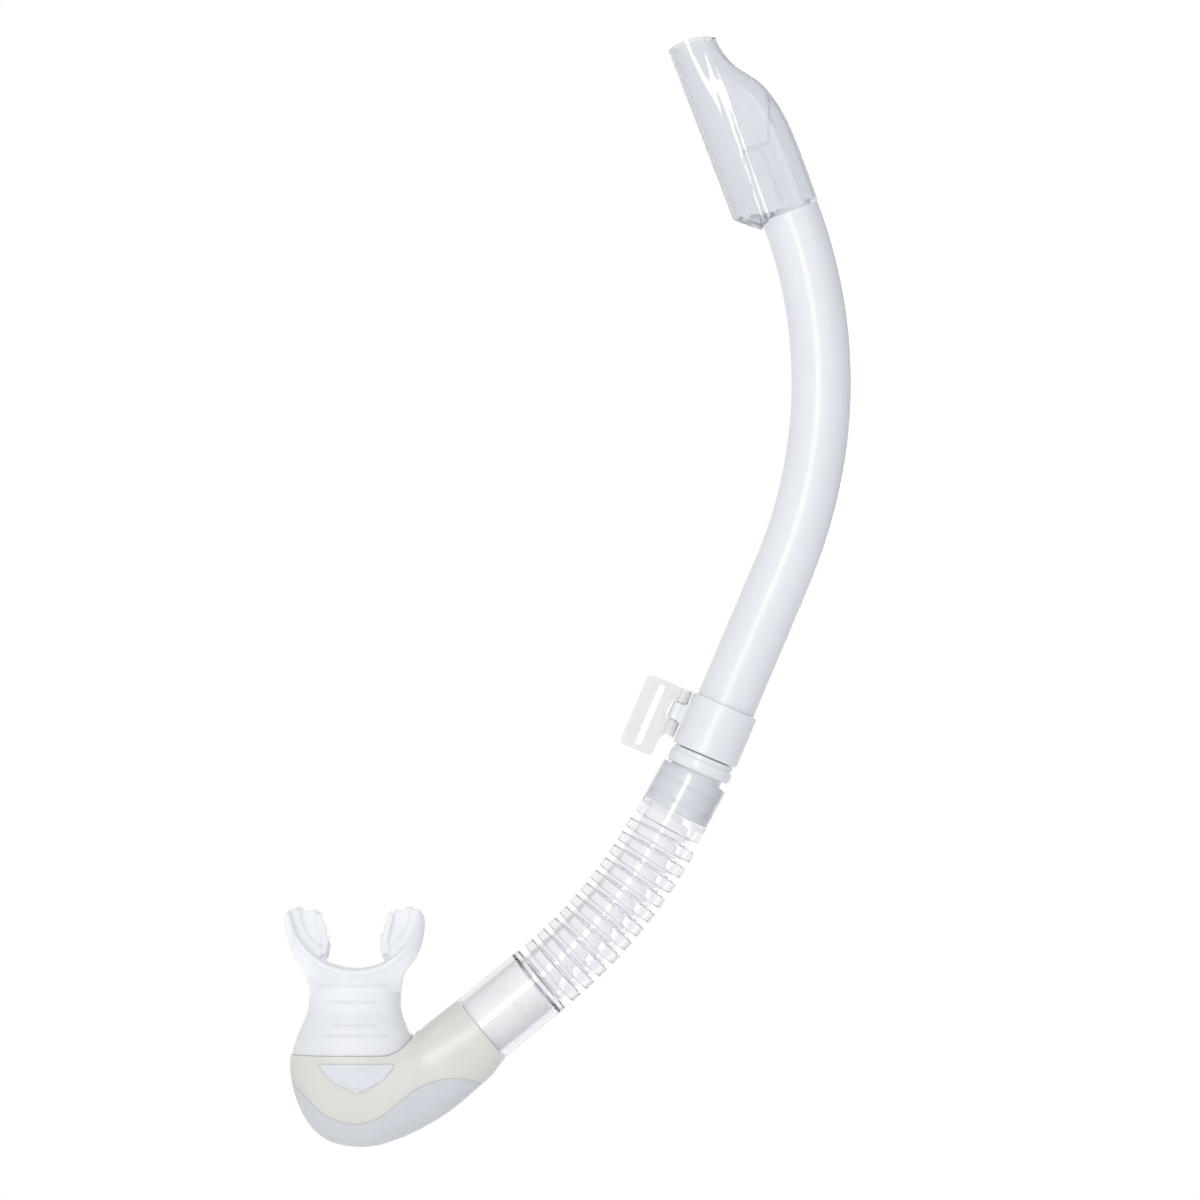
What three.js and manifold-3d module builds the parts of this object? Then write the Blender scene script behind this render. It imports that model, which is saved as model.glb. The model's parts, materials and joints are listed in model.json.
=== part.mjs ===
// Snorkel: curved barrel, splash guard, strap keeper, corrugated hose, purge chamber and mouthpiece.
// Millimetres. +Z is up, +X is towards the barrel's outer bend, -Y is the side that carries the badge.
// The origin is the centre of the strap slot in the keeper's clip.
// The whole snorkel is symmetric about the plane y = 0.

import * as THREE from "three";
import { LoftGeometry } from "three/addons/geometries/LoftGeometry.js";
import { mergeVertices } from "three/addons/utils/BufferGeometryUtils.js";
import Module from "manifold-3d";

const wasm = await Module();
wasm.setup();

// ---------- Driving dimensions ----------

const GAP = 0.3; // between pieces that touch on the real snorkel
const ROUND_SIDES = 20; // sides of a round piece

// Barrel
const TUBE_LEAN = 23.1; // straight lower stretch, degrees from vertical
const TUBE_R = 11.75; // outside
const TUBE_WALL = 1.75;
const STRAIGHT_UP = 72.2; // from the strap slot's height up to where the bend starts
const BEND_R = 186.8; // of the barrel's centre line
const BEND_ANGLE = 44; // degrees
const BARREL_FOOT = -6.3; // lower end, below the strap slot's height

// Keeper: a collar on the barrel and a clip hinged to it
const SLOT_TO_TUBE = 25.7; // strap slot to the barrel's axis
const COLLAR_R = 13.3;
const COLLAR_TOP = 14.8;
const COLLAR_FOOT = -6;
const CLIP_THICK = 4;
const CLIP_HALF_WIDTH = 6.7;
const CLIP_HALF_HEIGHT = 14.6;
const SLOT_WIDTH = 2.8;
const SLOT_LENGTH = 25.5;
const PIN_TO_TUBE = 16.5;
const PIN_R = 1.5;
const KNUCKLE_R = 2.7;
const HINGE_TOP = 14.6; // upper end of the upper knuckle
const HINGE_FOOT = -4.6; // lower end of the lower knuckle
const LUG_TOP = 8.7; // the collar's lug stands between the knuckles
const LUG_FOOT = 1.8;

// Splash guard, in its own frame on the barrel's upper end
const GUARD_WALL = 1.6;
const TUBE_SIDE = 12.2; // the guard's side over the barrel, and half its depth there
const SCOOP_EDGE = -21.9; // the scoop's straight outer edge
const SCOOP_HEIGHT = 72; // of the level that carries the mouth's rim
const ROOF_EDGE = -2.6; // where the roof ends at the mouth
const GUARD_SPIGOT_DEPTH = 10;

// Hose
const SPIGOT_BEND = 5.2; // the connector's spigot leans this much more than the barrel, degrees
const SHOULDER_HEIGHT = 5.9; // the connector's shoulder under the collar
const UPPER_CUFF_LENGTH = 25.9;
const UPPER_CUFF_R = 13.65;
const HOSE_BORE_R = 9.5;
const HOSE_SLEEVE_R = 10.75; // outside of the wall between the rings
const RING_R = 14.5;
const RING_WIDTH = 4.2;
const RING_COUNT = 11;
const RING_PITCH = 6.61;
const FIRST_RING = 5.3; // from the upper cuff's end to the first ring's middle
const HOSE_BEND = 22.4; // degrees over the ringed stretch
const CUT_GAP = 1.6; // the wall is left open at the middle of each groove, where a hinge stands for it
const LOWER_CUFF_LENGTH = 30.6;
const LOWER_CUFF_R = 14.55;
const CUFF_BORE_R = 11.75;

// Swivel between the lower cuff and the chamber
const SLEEVE_R = 11.45;
const SLEEVE_BORE_R = 9.6;
const SOCKET_DEPTH = 12;
const O_RING_RADIUS = 11.05; // to the middle of its section
const O_RING_SECTION = 0.5;

// Purge chamber
const MOUTH_X = -114.9; // centre line of the mouthpiece
const COVER_THICK = 1.8;
const CHAMBER_WALL = 4; // where the cover doesn't lie over it
const CHAMBER_BORE_R = 10.5;
const FLOOR_TOP = -156; // the chamber's flat floor, which holds the purge valve
const FLOOR_THICK = 2.5;
const VALVE_R = 11.5;
const FLAP_R = 10;
const VALVE_TRAVEL = 1.5;

// Mouthpiece
const SKIRT_WALL = 3;
const SHIELD_HALF_DEPTH = 14;
const ARCH_R = 25.4; // inner arch of the lip shield, round the teeth
const ARCH_Z = -73.9;
const TAB_THICK = 4.4;

// ---------- Materials ----------

function finish(color, roughness, opacity = 1) {
  const transparent = opacity < 1;
  return new THREE.MeshStandardMaterial({ color, roughness, metalness: 0, opacity, transparent });
}

const whitePlastic = finish(0xe9edf4, 0.22);
const milkyPlastic = finish(0xf1f0ee, 0.3, 0.9);
const clearPlastic = finish(0xdde6f0, 0.06, 0.35);
const clearSilicone = finish(0xf0f4f8, 0.1, 0.35);
const sleevePlastic = finish(0xf7f4f0, 0.35);
const ivoryPlastic = finish(0xeae8dc, 0.35);
const coverPlastic = finish(0xdde2ea, 0.3, 0.9);
const frostedSilicone = finish(0xe6eaf2, 0.4, 0.85);
const sealRubber = finish(0x4a4d52, 0.6);

// ---------- Solids ----------

// A closed geometry as a solid that can be cut and joined; its faces are turned to point outwards.
function toSolid(geometry) {
  const bare = new THREE.BufferGeometry().setIndex(geometry.index);
  bare.setAttribute("position", geometry.attributes.position);
  const merged = mergeVertices(bare, 1e-4);
  const corners = new Uint32Array(merged.index.array);
  const build = () =>
    new wasm.Manifold(
      new wasm.Mesh({
        numProp: 3,
        vertProperties: merged.attributes.position.array,
        triVerts: corners,
      }),
    );
  const solid = build();
  if (solid.volume() > 0) return solid;
  corners.reverse();
  return build();
}

function toGeometry(solid) {
  const mesh = solid.getMesh();
  const geometry = new THREE.BufferGeometry();
  const points = new Float32Array(mesh.vertProperties);
  geometry.setAttribute("position", new THREE.BufferAttribute(points, mesh.numProp));
  geometry.setIndex(new THREE.BufferAttribute(new Uint32Array(mesh.triVerts), 1));
  geometry.computeVertexNormals();
  return geometry;
}

// A solid turned about +Z from [radius, height] corners.
function turned(corners, sides = ROUND_SIDES) {
  const profile = corners.map(([r, z]) => new THREE.Vector2(r, z));
  const onAxis = corners[0][0] === 0 && corners.at(-1)[0] === 0;
  if (!onAxis) profile.push(profile[0].clone());
  return toSolid(new THREE.LatheGeometry(profile, sides).rotateX(Math.PI / 2));
}

function cylinder(radius, low, high, sides) {
  return turned([[0, low], [radius, low], [radius, high], [0, high]], sides);
}

// A shape drawn in the XZ plane, given a thickness along Y about y = middle.
function slab(shape, thickness, middle = 0, curveSegments = 12) {
  const options = { depth: thickness, bevelEnabled: false, curveSegments };
  const geometry = new THREE.ExtrudeGeometry(shape, options);
  geometry.translate(0, 0, -thickness / 2).rotateX(Math.PI / 2).translate(0, middle, 0);
  return toSolid(geometry);
}

function box(sizeX, sizeY, sizeZ, x, y, z) {
  return toSolid(new THREE.BoxGeometry(sizeX, sizeY, sizeZ).translate(x, y, z));
}

// A solid through a row of rings. Seen from the last ring they have to run anticlockwise.
function loft(sections) {
  const [start, quarter] = [sections[0][0], sections[0][Math.floor(sections[0].length / 4)]];
  const onward = sections[1][0].clone().sub(start);
  const centre = start.clone().add(sections[0][sections[0].length / 2]).multiplyScalar(0.5);
  const facing = start.clone().sub(centre).cross(quarter.clone().sub(centre));
  const ordered = facing.dot(onward) < 0 ? sections.map((ring) => ring.toReversed()) : sections;
  return toSolid(new LoftGeometry(ordered, { capStart: true, capEnd: true }));
}

// A closed outline through [x, z] corners, each rounded by a curve that starts one radius before it.
function roundedOutline(corners, radius) {
  const shape = new THREE.Shape();
  const points = corners.map(([x, z]) => new THREE.Vector2(x, z));
  points.forEach((corner, i) => {
    const before = points.at(i - 1);
    const after = points[(i + 1) % points.length];
    const enter = corner.clone().add(before.clone().sub(corner).setLength(radius));
    const leave = corner.clone().add(after.clone().sub(corner).setLength(radius));
    if (i === 0) shape.moveTo(enter.x, enter.y);
    else shape.lineTo(enter.x, enter.y);
    shape.quadraticCurveTo(corner.x, corner.y, leave.x, leave.y);
  });
  shape.closePath();
  return shape;
}

// A shape whose upper edge is a smooth curve through [x, z] points and whose lower edge lies at z = floor.
function regionUnder(curvePoints, floor, divisions = 24) {
  const curve = new THREE.SplineCurve(curvePoints.map(([x, z]) => new THREE.Vector2(x, z)));
  const upper = curve.getPoints(divisions);
  const ends = [new THREE.Vector2(upper.at(-1).x, floor), new THREE.Vector2(upper[0].x, floor)];
  return new THREE.Shape([...upper, ...ends]);
}

// An oval ring of points: half sizes along two directions, squareness 2 is an ellipse.
function ovalRing(centre, along, halfLength, halfDepth, squareness = 2, columns = 24) {
  const power = 2 / squareness;
  return Array.from({ length: columns }, (_, i) => {
    const angle = (2 * Math.PI * i) / columns;
    const c = Math.cos(angle);
    const s = Math.sin(angle);
    const reach = Math.sign(c) * Math.abs(c) ** power * halfLength;
    const side = Math.sign(s) * Math.abs(s) ** power * halfDepth;
    return centre.clone().addScaledVector(along, reach).add(new THREE.Vector3(0, side, 0));
  });
}

const group = new THREE.Group();

function addPiece(parent, name, solid, material) {
  const mesh = new THREE.Mesh(toGeometry(solid), material);
  mesh.name = name;
  parent.add(mesh);
  return mesh;
}

function frameAt(parent, x, z, lean) {
  const frame = new THREE.Group();
  frame.position.set(x, 0, z);
  frame.rotation.y = THREE.MathUtils.degToRad(lean);
  parent.add(frame);
  return frame;
}

// A solid made in a frame, moved to its place on the snorkel.
function inWorld(frame, solid) {
  frame.updateWorldMatrix(true, false);
  return solid.transform(frame.matrixWorld.elements);
}

// ---------- Frames ----------

// In the keeper's frame +Z runs up the barrel's straight stretch and +X points at the barrel.
const keeperFrame = frameAt(group, 0, 0, TUBE_LEAN);
const tubeFrame = frameAt(keeperFrame, SLOT_TO_TUBE, 0, 0);
const bend = THREE.MathUtils.degToRad(BEND_ANGLE);
const guardFrame = frameAt(
  tubeFrame,
  BEND_R * (Math.cos(bend) - 1),
  STRAIGHT_UP + BEND_R * Math.sin(bend),
  -BEND_ANGLE,
);
const spigotFrame = frameAt(tubeFrame, 0, BARREL_FOOT - SHOULDER_HEIGHT, SPIGOT_BEND);

// The hose's centre line: an arc that leans over from the spigot's direction by HOSE_BEND.
const hoseStretch = 2 * FIRST_RING + (RING_COUNT - 1) * RING_PITCH;
const hoseRadius = hoseStretch / THREE.MathUtils.degToRad(HOSE_BEND);

// A frame on the hose's centre line, at a distance along it below the upper cuff; +Z points up the hose.
function hoseFrame(distance) {
  const turn = distance / hoseRadius;
  return frameAt(
    spigotFrame,
    -hoseRadius * (1 - Math.cos(turn)),
    -UPPER_CUFF_LENGTH - hoseRadius * Math.sin(turn),
    THREE.MathUtils.radToDeg(turn),
  );
}

const lowerCuffFrame = hoseFrame(hoseStretch);
const chamberFrame = frameAt(lowerCuffFrame, 0, -LOWER_CUFF_LENGTH, 0);

// ---------- Keeper ----------

function keeperClip() {
  const plate = roundedOutline(
    [
      [-CLIP_HALF_WIDTH, -CLIP_HALF_HEIGHT],
      [CLIP_HALF_WIDTH, -CLIP_HALF_HEIGHT],
      [CLIP_HALF_WIDTH, CLIP_HALF_HEIGHT],
      [-CLIP_HALF_WIDTH, CLIP_HALF_HEIGHT],
    ],
    2.5,
  );
  const halfSlot = SLOT_LENGTH / 2;
  const half = SLOT_WIDTH / 2;
  const slot = roundedOutline(
    [
      [-half, -halfSlot],
      [half, -halfSlot],
      [half, halfSlot],
      [-half, halfSlot],
    ],
    1.2,
  );
  const pinX = SLOT_TO_TUBE - PIN_TO_TUBE;
  const arm = pinX - half - 2;
  const middle = (HINGE_TOP + HINGE_FOOT) / 2;
  const bridge = box(arm, CLIP_THICK - 0.6, HINGE_TOP - HINGE_FOOT, pinX - arm / 2, 0, middle);
  const knuckles = cylinder(KNUCKLE_R, HINGE_FOOT, HINGE_TOP).translate(pinX, 0, 0);
  const lugHeight = LUG_TOP - LUG_FOOT + 2 * GAP;
  const lugRoom = box(
    2 * (KNUCKLE_R + GAP) + 1,
    3 * KNUCKLE_R,
    lugHeight,
    pinX,
    0,
    (LUG_TOP + LUG_FOOT) / 2,
  );
  const pinHole = cylinder(PIN_R + GAP, HINGE_FOOT - 1, HINGE_TOP + 1).translate(pinX, 0, 0);
  return slab(plate, CLIP_THICK, 0, 4)
    .add(bridge)
    .add(knuckles)
    .subtract(slab(slot, 2 * CLIP_THICK, 0, 4))
    .subtract(lugRoom)
    .subtract(pinHole);
}

function keeperPin() {
  return cylinder(PIN_R, HINGE_FOOT + 0.2, HINGE_TOP - 0.2, 16);
}

function keeperCollar() {
  const bore = TUBE_R + GAP;
  const chamfer = 1;
  const sleeve = turned([
    [bore, COLLAR_FOOT],
    [COLLAR_R - chamfer, COLLAR_FOOT],
    [COLLAR_R, COLLAR_FOOT + chamfer],
    [COLLAR_R, COLLAR_TOP - chamfer / 2],
    [COLLAR_R - chamfer / 2, COLLAR_TOP],
    [bore, COLLAR_TOP],
  ]);
  const lugReach = PIN_TO_TUBE - bore - 0.4;
  const lugMiddle = (LUG_TOP + LUG_FOOT) / 2;
  const lugWidth = 2 * KNUCKLE_R - 0.6;
  const lug = box(lugReach, lugWidth, LUG_TOP - LUG_FOOT, lugReach / 2 - PIN_TO_TUBE, 0, lugMiddle);
  const nose = cylinder(KNUCKLE_R, LUG_FOOT, LUG_TOP).translate(-PIN_TO_TUBE, 0, 0);
  const pinHole = cylinder(PIN_R + GAP, LUG_FOOT - 1, LUG_TOP + 1).translate(-PIN_TO_TUBE, 0, 0);
  return sleeve.add(lug).add(nose).subtract(pinHole);
}

// ---------- Barrel ----------

// The barrel's centre line in its own frame: straight up, then an arc towards -X.
function barrelPath() {
  class Bend extends THREE.Curve {
    getPoint(t, target = new THREE.Vector3()) {
      const angle = bend * t;
      return target.set(BEND_R * (Math.cos(angle) - 1), 0, STRAIGHT_UP + BEND_R * Math.sin(angle));
    }
  }
  const path = new THREE.CurvePath();
  path.add(new THREE.LineCurve3(new THREE.Vector3(0, 0, BARREL_FOOT), new THREE.Vector3(0, 0, STRAIGHT_UP)));
  path.add(new Bend());
  return path;
}

function barrel() {
  const shape = new THREE.Shape().absarc(0, 0, TUBE_R, 0, 2 * Math.PI, false);
  shape.holes.push(new THREE.Path().absarc(0, 0, TUBE_R - TUBE_WALL, 0, 2 * Math.PI, true));
  const options = { steps: 18, curveSegments: ROUND_SIDES / 2, extrudePath: barrelPath() };
  return toSolid(new THREE.ExtrudeGeometry(shape, options));
}

// ---------- Splash guard ----------

// The guard's far edge at a height: straight beside the barrel, then a rounded roof, then the scoop alone.
const roof = new THREE.SplineCurve([
  new THREE.Vector2(TUBE_SIDE, 0),
  new THREE.Vector2(12.4, 16),
  new THREE.Vector2(12.3, 29),
  new THREE.Vector2(11, 40.5),
  new THREE.Vector2(7.6, 51),
  new THREE.Vector2(1.2, 60),
  new THREE.Vector2(-1.7, 67),
  new THREE.Vector2(ROOF_EDGE, SCOOP_HEIGHT),
]);

// One level of the guard, inset for its inner face. The level's height may change with x.
function guardLevel(height, farEdge, inset, levelHeight = () => height) {
  const halfLength = (farEdge - SCOOP_EDGE) / 2 - inset;
  const centre = new THREE.Vector3((farEdge + SCOOP_EDGE) / 2, 0, 0);
  const halfDepth = THREE.MathUtils.mapLinear(height, 0, SCOOP_HEIGHT, TUBE_SIDE, 10.4) - inset;
  const ring = ovalRing(centre, new THREE.Vector3(1, 0, 0), halfLength, halfDepth, 2.5);
  return ring.map((point) => point.setZ(levelHeight(point.x)));
}

// The scoop's mouth: its rim is an arc seen from the side.
const rimHeight = (x) => 51.5 + Math.sqrt(24.8 ** 2 - (x + 15) ** 2);
// The guard stands on the barrel's end, and the scoop's bottom slopes down to the barrel's side.
const footHeight = (x) => (x < -TUBE_SIDE ? -2.7 - (x + TUBE_SIDE) * 0.81 : GAP);

function guardBody(inset, foot, rim) {
  const levels = [guardLevel(GAP, TUBE_SIDE, inset, foot)];
  const steps = 11;
  const lowest = 0.12;
  const share = 0.85;
  for (let i = 1; i < steps; i += 1) {
    const { x, y } = roof.getPointAt(lowest + (share * i) / steps);
    levels.push(guardLevel(y, x, inset));
  }
  levels.push(guardLevel(SCOOP_HEIGHT, ROOF_EDGE, inset, rim));
  return loft(levels);
}

function splashGuard() {
  const inside = guardBody(
    GUARD_WALL,
    (x) => footHeight(x) + GUARD_WALL,
    (x) => rimHeight(x) + 2,
  );
  const spigotR = TUBE_R - TUBE_WALL - 2 * GAP;
  const spigot = cylinder(spigotR, -GUARD_SPIGOT_DEPTH, GAP + GUARD_WALL);
  const bore = cylinder(spigotR - 1.3, -GUARD_SPIGOT_DEPTH - 1, GAP + 2 * GUARD_WALL);
  const drain = box(2.6, 12, 12, -16.5, 0, 0);
  return guardBody(0, footHeight, rimHeight).subtract(inside).add(spigot).subtract(bore).subtract(drain);
}

// Inner wall of the guard: a foot in the barrel, a ledge, and a slope up to the roof.
function guardDeflector() {
  const wall = 1.2;
  const line = [[-2.4, 4], [-2.8, 27.6], [-7.7, 27.6], [-7.7, 28.8], [1.2, 28.8], [8.2, 47.6]];
  const back = [[9.4, 47], [2, 27.6], [-1.6, 27.6], [-1.2, 4]];
  const outline = new THREE.Shape([...line, ...back].map(([x, z]) => new THREE.Vector2(x, z)));
  const room = guardBody(
    GUARD_WALL + GAP,
    () => 3,
    (x) => rimHeight(x) - wall,
  );
  return slab(outline, 40).intersect(room);
}

// ---------- Hose ----------

function hoseConnector() {
  const top = SHOULDER_HEIGHT;
  const bore = 8.6;
  const plugR = TUBE_R - TUBE_WALL - GAP;
  const barbR = 10.9;
  const coreR = 10.3;
  const foot = -19;
  const shoulder = turned([
    [bore, -1],
    [12.4, -1],
    [12.9, 0.3],
    [12.9, 3.4],
    [12.3, 3.9],
    [12.3, top - GAP],
    [plugR, top - GAP],
    [plugR, top + 9],
    [bore, top + 9],
  ]).rotate(0, -SPIGOT_BEND, 0);
  const barbs = [-7, -14].flatMap((z) => [
    [barbR, z],
    [coreR, z - 1.8],
  ]);
  const spigot = turned([[bore, 0], [coreR, 0], ...barbs, [coreR, foot], [bore, foot]]);
  return shoulder.add(spigot);
}

function hoseUpperCuff() {
  const top = -2.6;
  const foot = -UPPER_CUFF_LENGTH;
  const end = foot - CUT_GAP / 2;
  return turned([
    [11.2, top],
    [UPPER_CUFF_R - 0.4, top],
    [UPPER_CUFF_R, top - 0.8],
    [UPPER_CUFF_R, foot + 1],
    [UPPER_CUFF_R - 1, foot],
    [HOSE_SLEEVE_R, foot],
    [HOSE_SLEEVE_R, end],
    [HOSE_BORE_R, end],
    [HOSE_BORE_R, foot + 4],
    [11.2, foot + 5.5],
  ]);
}

function hoseRing() {
  const half = RING_WIDTH / 2;
  const reach = (RING_PITCH - CUT_GAP) / 2;
  return turned([
    [HOSE_BORE_R, -reach],
    [HOSE_SLEEVE_R, -reach],
    [HOSE_SLEEVE_R, -half],
    [RING_R, -half],
    [RING_R, half],
    [HOSE_SLEEVE_R, half],
    [HOSE_SLEEVE_R, reach],
    [HOSE_BORE_R, reach],
  ]);
}

function hoseLowerCuff() {
  const foot = GAP - LOWER_CUFF_LENGTH;
  return turned([
    [HOSE_BORE_R, CUT_GAP / 2],
    [HOSE_BORE_R, -2.4],
    [CUFF_BORE_R, -3.4],
    [CUFF_BORE_R, foot],
    [LOWER_CUFF_R, foot],
    [LOWER_CUFF_R, -0.8],
    [LOWER_CUFF_R - 0.8, 0],
    [HOSE_SLEEVE_R, 0],
    [HOSE_SLEEVE_R, CUT_GAP / 2],
  ]);
}

// ---------- Swivel ----------

const grooveHeight = -SOCKET_DEPTH / 2;

function swivelSleeve() {
  const top = LOWER_CUFF_LENGTH - 4;
  const foot = -SOCKET_DEPTH + GAP;
  const groove = O_RING_SECTION + 0.25;
  return turned([
    [SLEEVE_BORE_R, foot],
    [SLEEVE_R, foot],
    [SLEEVE_R, grooveHeight - groove],
    [SLEEVE_R - 1.1, grooveHeight - groove],
    [SLEEVE_R - 1.1, grooveHeight + groove],
    [SLEEVE_R, grooveHeight + groove],
    [SLEEVE_R, top],
    [SLEEVE_BORE_R, top],
  ]);
}

function swivelORing() {
  const ring = new THREE.TorusGeometry(O_RING_RADIUS, O_RING_SECTION, 6, ROUND_SIDES);
  return toSolid(ring).translate(0, 0, grooveHeight);
}

// ---------- Purge chamber ----------

// The chamber bends the airway from the hose round into the mouthpiece. Each station is a cross-section
// from the inside of the bend (inner x, z) to the outside (outer x, z), with its half depth along Y.
const stations = [
  { inner: [-74.9, -111.2], outer: [-56.4, -133.6], depth: 14.5 },
  { inner: [-78.6, -114], outer: [-61.5, -140.4], depth: 14.6 },
  { inner: [-82.3, -116.9], outer: [-68.5, -146.8], depth: 14.9 },
  { inner: [-86.1, -119.9], outer: [-76.5, -153.5], depth: 15.4 },
  { inner: [-89.3, -122.7], outer: [-85.5, -159.4], depth: 16 },
  { inner: [-90.2, -123.2], outer: [-97, -165], depth: 16.8 },
  { inner: [-90.9, -123.1], outer: [-110, -168.5], depth: 17.4 },
  { inner: [-91.3, -122.9], outer: [-124, -166.7], depth: 17.6 },
  { inner: [-91.6, -122.6], outer: [-133, -159.5], depth: 17.6 },
  { inner: [-91.8, -122.3], outer: [-138.5, -148], depth: 17.5 },
  { inner: [-91.9, -121.9], outer: [-140.4, -136], depth: 17.2 },
  { inner: [-92.1, -121.4], outer: [-138.8, -127.5], depth: 16 },
];

// The chamber's outer body, inset all round for the faces inside it.
function chamberBody(inset) {
  const innerEdge = new THREE.CatmullRomCurve3(
    stations.map(({ inner, depth }) => new THREE.Vector3(inner[0], depth, inner[1])),
  );
  const outerEdge = new THREE.CatmullRomCurve3(
    stations.map(({ outer }) => new THREE.Vector3(outer[0], 0, outer[1])),
  );
  const steps = 15;
  const sections = Array.from({ length: steps + 1 }, (_, i) => {
    const inner = innerEdge.getPoint(i / steps);
    const outer = outerEdge.getPoint(i / steps);
    const depth = inner.y - inset;
    inner.y = 0;
    const along = outer.clone().sub(inner);
    const half = along.length() / 2 - inset;
    const centre = inner.add(outer).multiplyScalar(0.5);
    return ovalRing(centre, along.normalize(), half, depth, 2 + 0.3 * Math.min(1, i / 6));
  });
  return loft(sections);
}

// The line where the mouthpiece's skirt meets the chamber, seen from the front, moved down by drop.
function belowSkirt(drop) {
  const shape = new THREE.Shape();
  shape.moveTo(-150, -132.4 - drop);
  shape.lineTo(-104, -132.4 - drop);
  shape.quadraticCurveTo(-97.6, -132.4 - drop, -91.2, -124 - drop);
  shape.lineTo(-70, -96.3 - drop);
  shape.lineTo(-20, -96.3 - drop);
  shape.lineTo(-20, -190);
  shape.lineTo(-150, -190);
  return slab(shape, 80);
}

// The space under the bottom cover's upper edge, seen from the front, raised by rise.
function coverRegion(rise) {
  const edge = [
    [-148, -136],
    [-138.5, -143.7],
    [-128.7, -153.6],
    [-121, -157.6],
    [-113, -158.8],
    [-105, -156],
    [-97.5, -150.3],
    [-89.7, -144.4],
    [-82, -141.6],
    [-74, -141.2],
    [-66, -143.4],
    [-58, -148],
  ];
  return slab(regionUnder(edge.map(([x, z]) => [x, z + rise]), -190), 80);
}

// Half sizes of the mouthpiece's neck and skirt, from the shield down to the chamber.
const neckLevels = [
  { z: -100.5, halfWidth: 19.4, halfDepth: 12.6 },
  { z: -105, halfWidth: 18.3, halfDepth: 11.7 },
  { z: -110, halfWidth: 17.9, halfDepth: 11.5 },
  { z: -115.8, halfWidth: 18.6, halfDepth: 12.4 },
  { z: -121, halfWidth: 20.7, halfDepth: 14.4 },
  { z: -127, halfWidth: 23.2, halfDepth: 16.3 },
  { z: -134, halfWidth: 25.2, halfDepth: 17.4 },
];

function neck(inset, highest = -100, lowest = -140) {
  const levels = neckLevels.filter(({ z }) => z <= highest && z >= lowest);
  return loft(
    levels.map(({ z, halfWidth, halfDepth }) => {
      const centre = new THREE.Vector3(MOUTH_X, 0, z);
      return ovalRing(centre, new THREE.Vector3(1, 0, 0), halfWidth - inset, halfDepth - inset, 2.3);
    }),
  );
}

const valveAxis = (solid) => solid.translate(MOUTH_X, 0, 0);

const badgeOutline = (() => {
  const shape = new THREE.Shape();
  shape.moveTo(-14.6, 5.6);
  shape.lineTo(14.6, 5.6);
  shape.quadraticCurveTo(10.5, -1.5, 0, -6.1);
  shape.quadraticCurveTo(-10.5, -1.5, -14.6, 5.6);
  return shape;
})();

// The badge's outline as a block through the chamber's front wall, grown by a margin.
function badgeBlock(margin) {
  const scale = 1 + margin / 8;
  const block = slab(badgeOutline, 30, -20);
  return block.scale([scale, 1, scale]).translate(MOUTH_X + 1, 0, -141);
}

function mouthpieceHousing() {
  const cavity = chamberBody(CHAMBER_WALL)
    .intersect(belowSkirt(3.4))
    .subtract(box(120, 80, 60, MOUTH_X, 0, FLOOR_TOP - 30));
  const coverRecess = chamberBody(-2)
    .subtract(chamberBody(COVER_THICK + GAP))
    .intersect(coverRegion(GAP));
  const badgeRecess = chamberBody(-2).subtract(chamberBody(1.1)).intersect(badgeBlock(0.35));
  const valveRoom = valveAxis(cylinder(13, -190, FLOOR_TOP - FLOOR_THICK));
  const valveHole = valveAxis(cylinder(VALVE_R + GAP, -190, FLOOR_TOP + 1));
  const mouthSpigot = neck(SKIRT_WALL + GAP, -115).intersect(belowSkirt(-17));
  const mouthBore = neck(SKIRT_WALL + GAP + 2, -110, -134);
  const socket = cylinder(CUFF_BORE_R, -SOCKET_DEPTH, 5);
  const hoseBore = cylinder(CHAMBER_BORE_R, -40, 0);
  return chamberBody(0)
    .intersect(belowSkirt(GAP / 2))
    .add(mouthSpigot)
    .subtract(cavity)
    .subtract(mouthBore)
    .subtract(inWorld(chamberFrame, socket.add(hoseBore)))
    .subtract(coverRecess)
    .subtract(badgeRecess)
    .subtract(valveRoom)
    .subtract(valveHole);
}

function bottomCover() {
  const pitch = 7;
  const drains = [-1, 0, 1].map((i) => box(3, 8, 20, MOUTH_X + 1 + pitch * i, 7, -170));
  const shell = chamberBody(0).subtract(chamberBody(COVER_THICK)).intersect(coverRegion(0));
  return drains.reduce((cover, drain) => cover.subtract(drain), shell);
}

function badge() {
  return chamberBody(-0.4).subtract(chamberBody(0.8)).intersect(badgeBlock(0));
}

// ---------- Purge valve ----------

function purgeValveSeat() {
  const foot = FLOOR_TOP - FLOOR_THICK;
  const rimWidth = 2.2;
  const hubR = 3;
  const rim = turned([
    [VALVE_R - rimWidth, foot],
    [VALVE_R, foot],
    [VALVE_R, FLOOR_TOP],
    [VALVE_R - rimWidth, FLOOR_TOP],
  ]);
  const middle = (FLOOR_TOP + foot) / 2;
  const spokes = box(2 * VALVE_R - 2, 1.8, FLOOR_THICK, 0, 0, middle).add(
    box(1.8, 2 * VALVE_R - 2, FLOOR_THICK, 0, 0, middle),
  );
  const hub = cylinder(hubR, foot, FLOOR_TOP, 16);
  return rim.add(spokes).add(hub).subtract(cylinder(1.5, foot - 1, FLOOR_TOP + 1, 16));
}

function purgeFlap() {
  const seat = FLOOR_TOP - FLOOR_THICK - GAP;
  const stemR = 1.1;
  const barb = FLOOR_TOP + VALVE_TRAVEL + 0.4;
  return turned([
    [0, seat - 1.3],
    [2.6, seat - 1.2],
    [FLAP_R, seat - 0.7],
    [FLAP_R, seat],
    [stemR, seat],
    [stemR, barb],
    [2.1, barb],
    [1.2, barb + 2.4],
    [0, barb + 2.4],
  ]);
}

// ---------- Mouthpiece ----------

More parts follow.
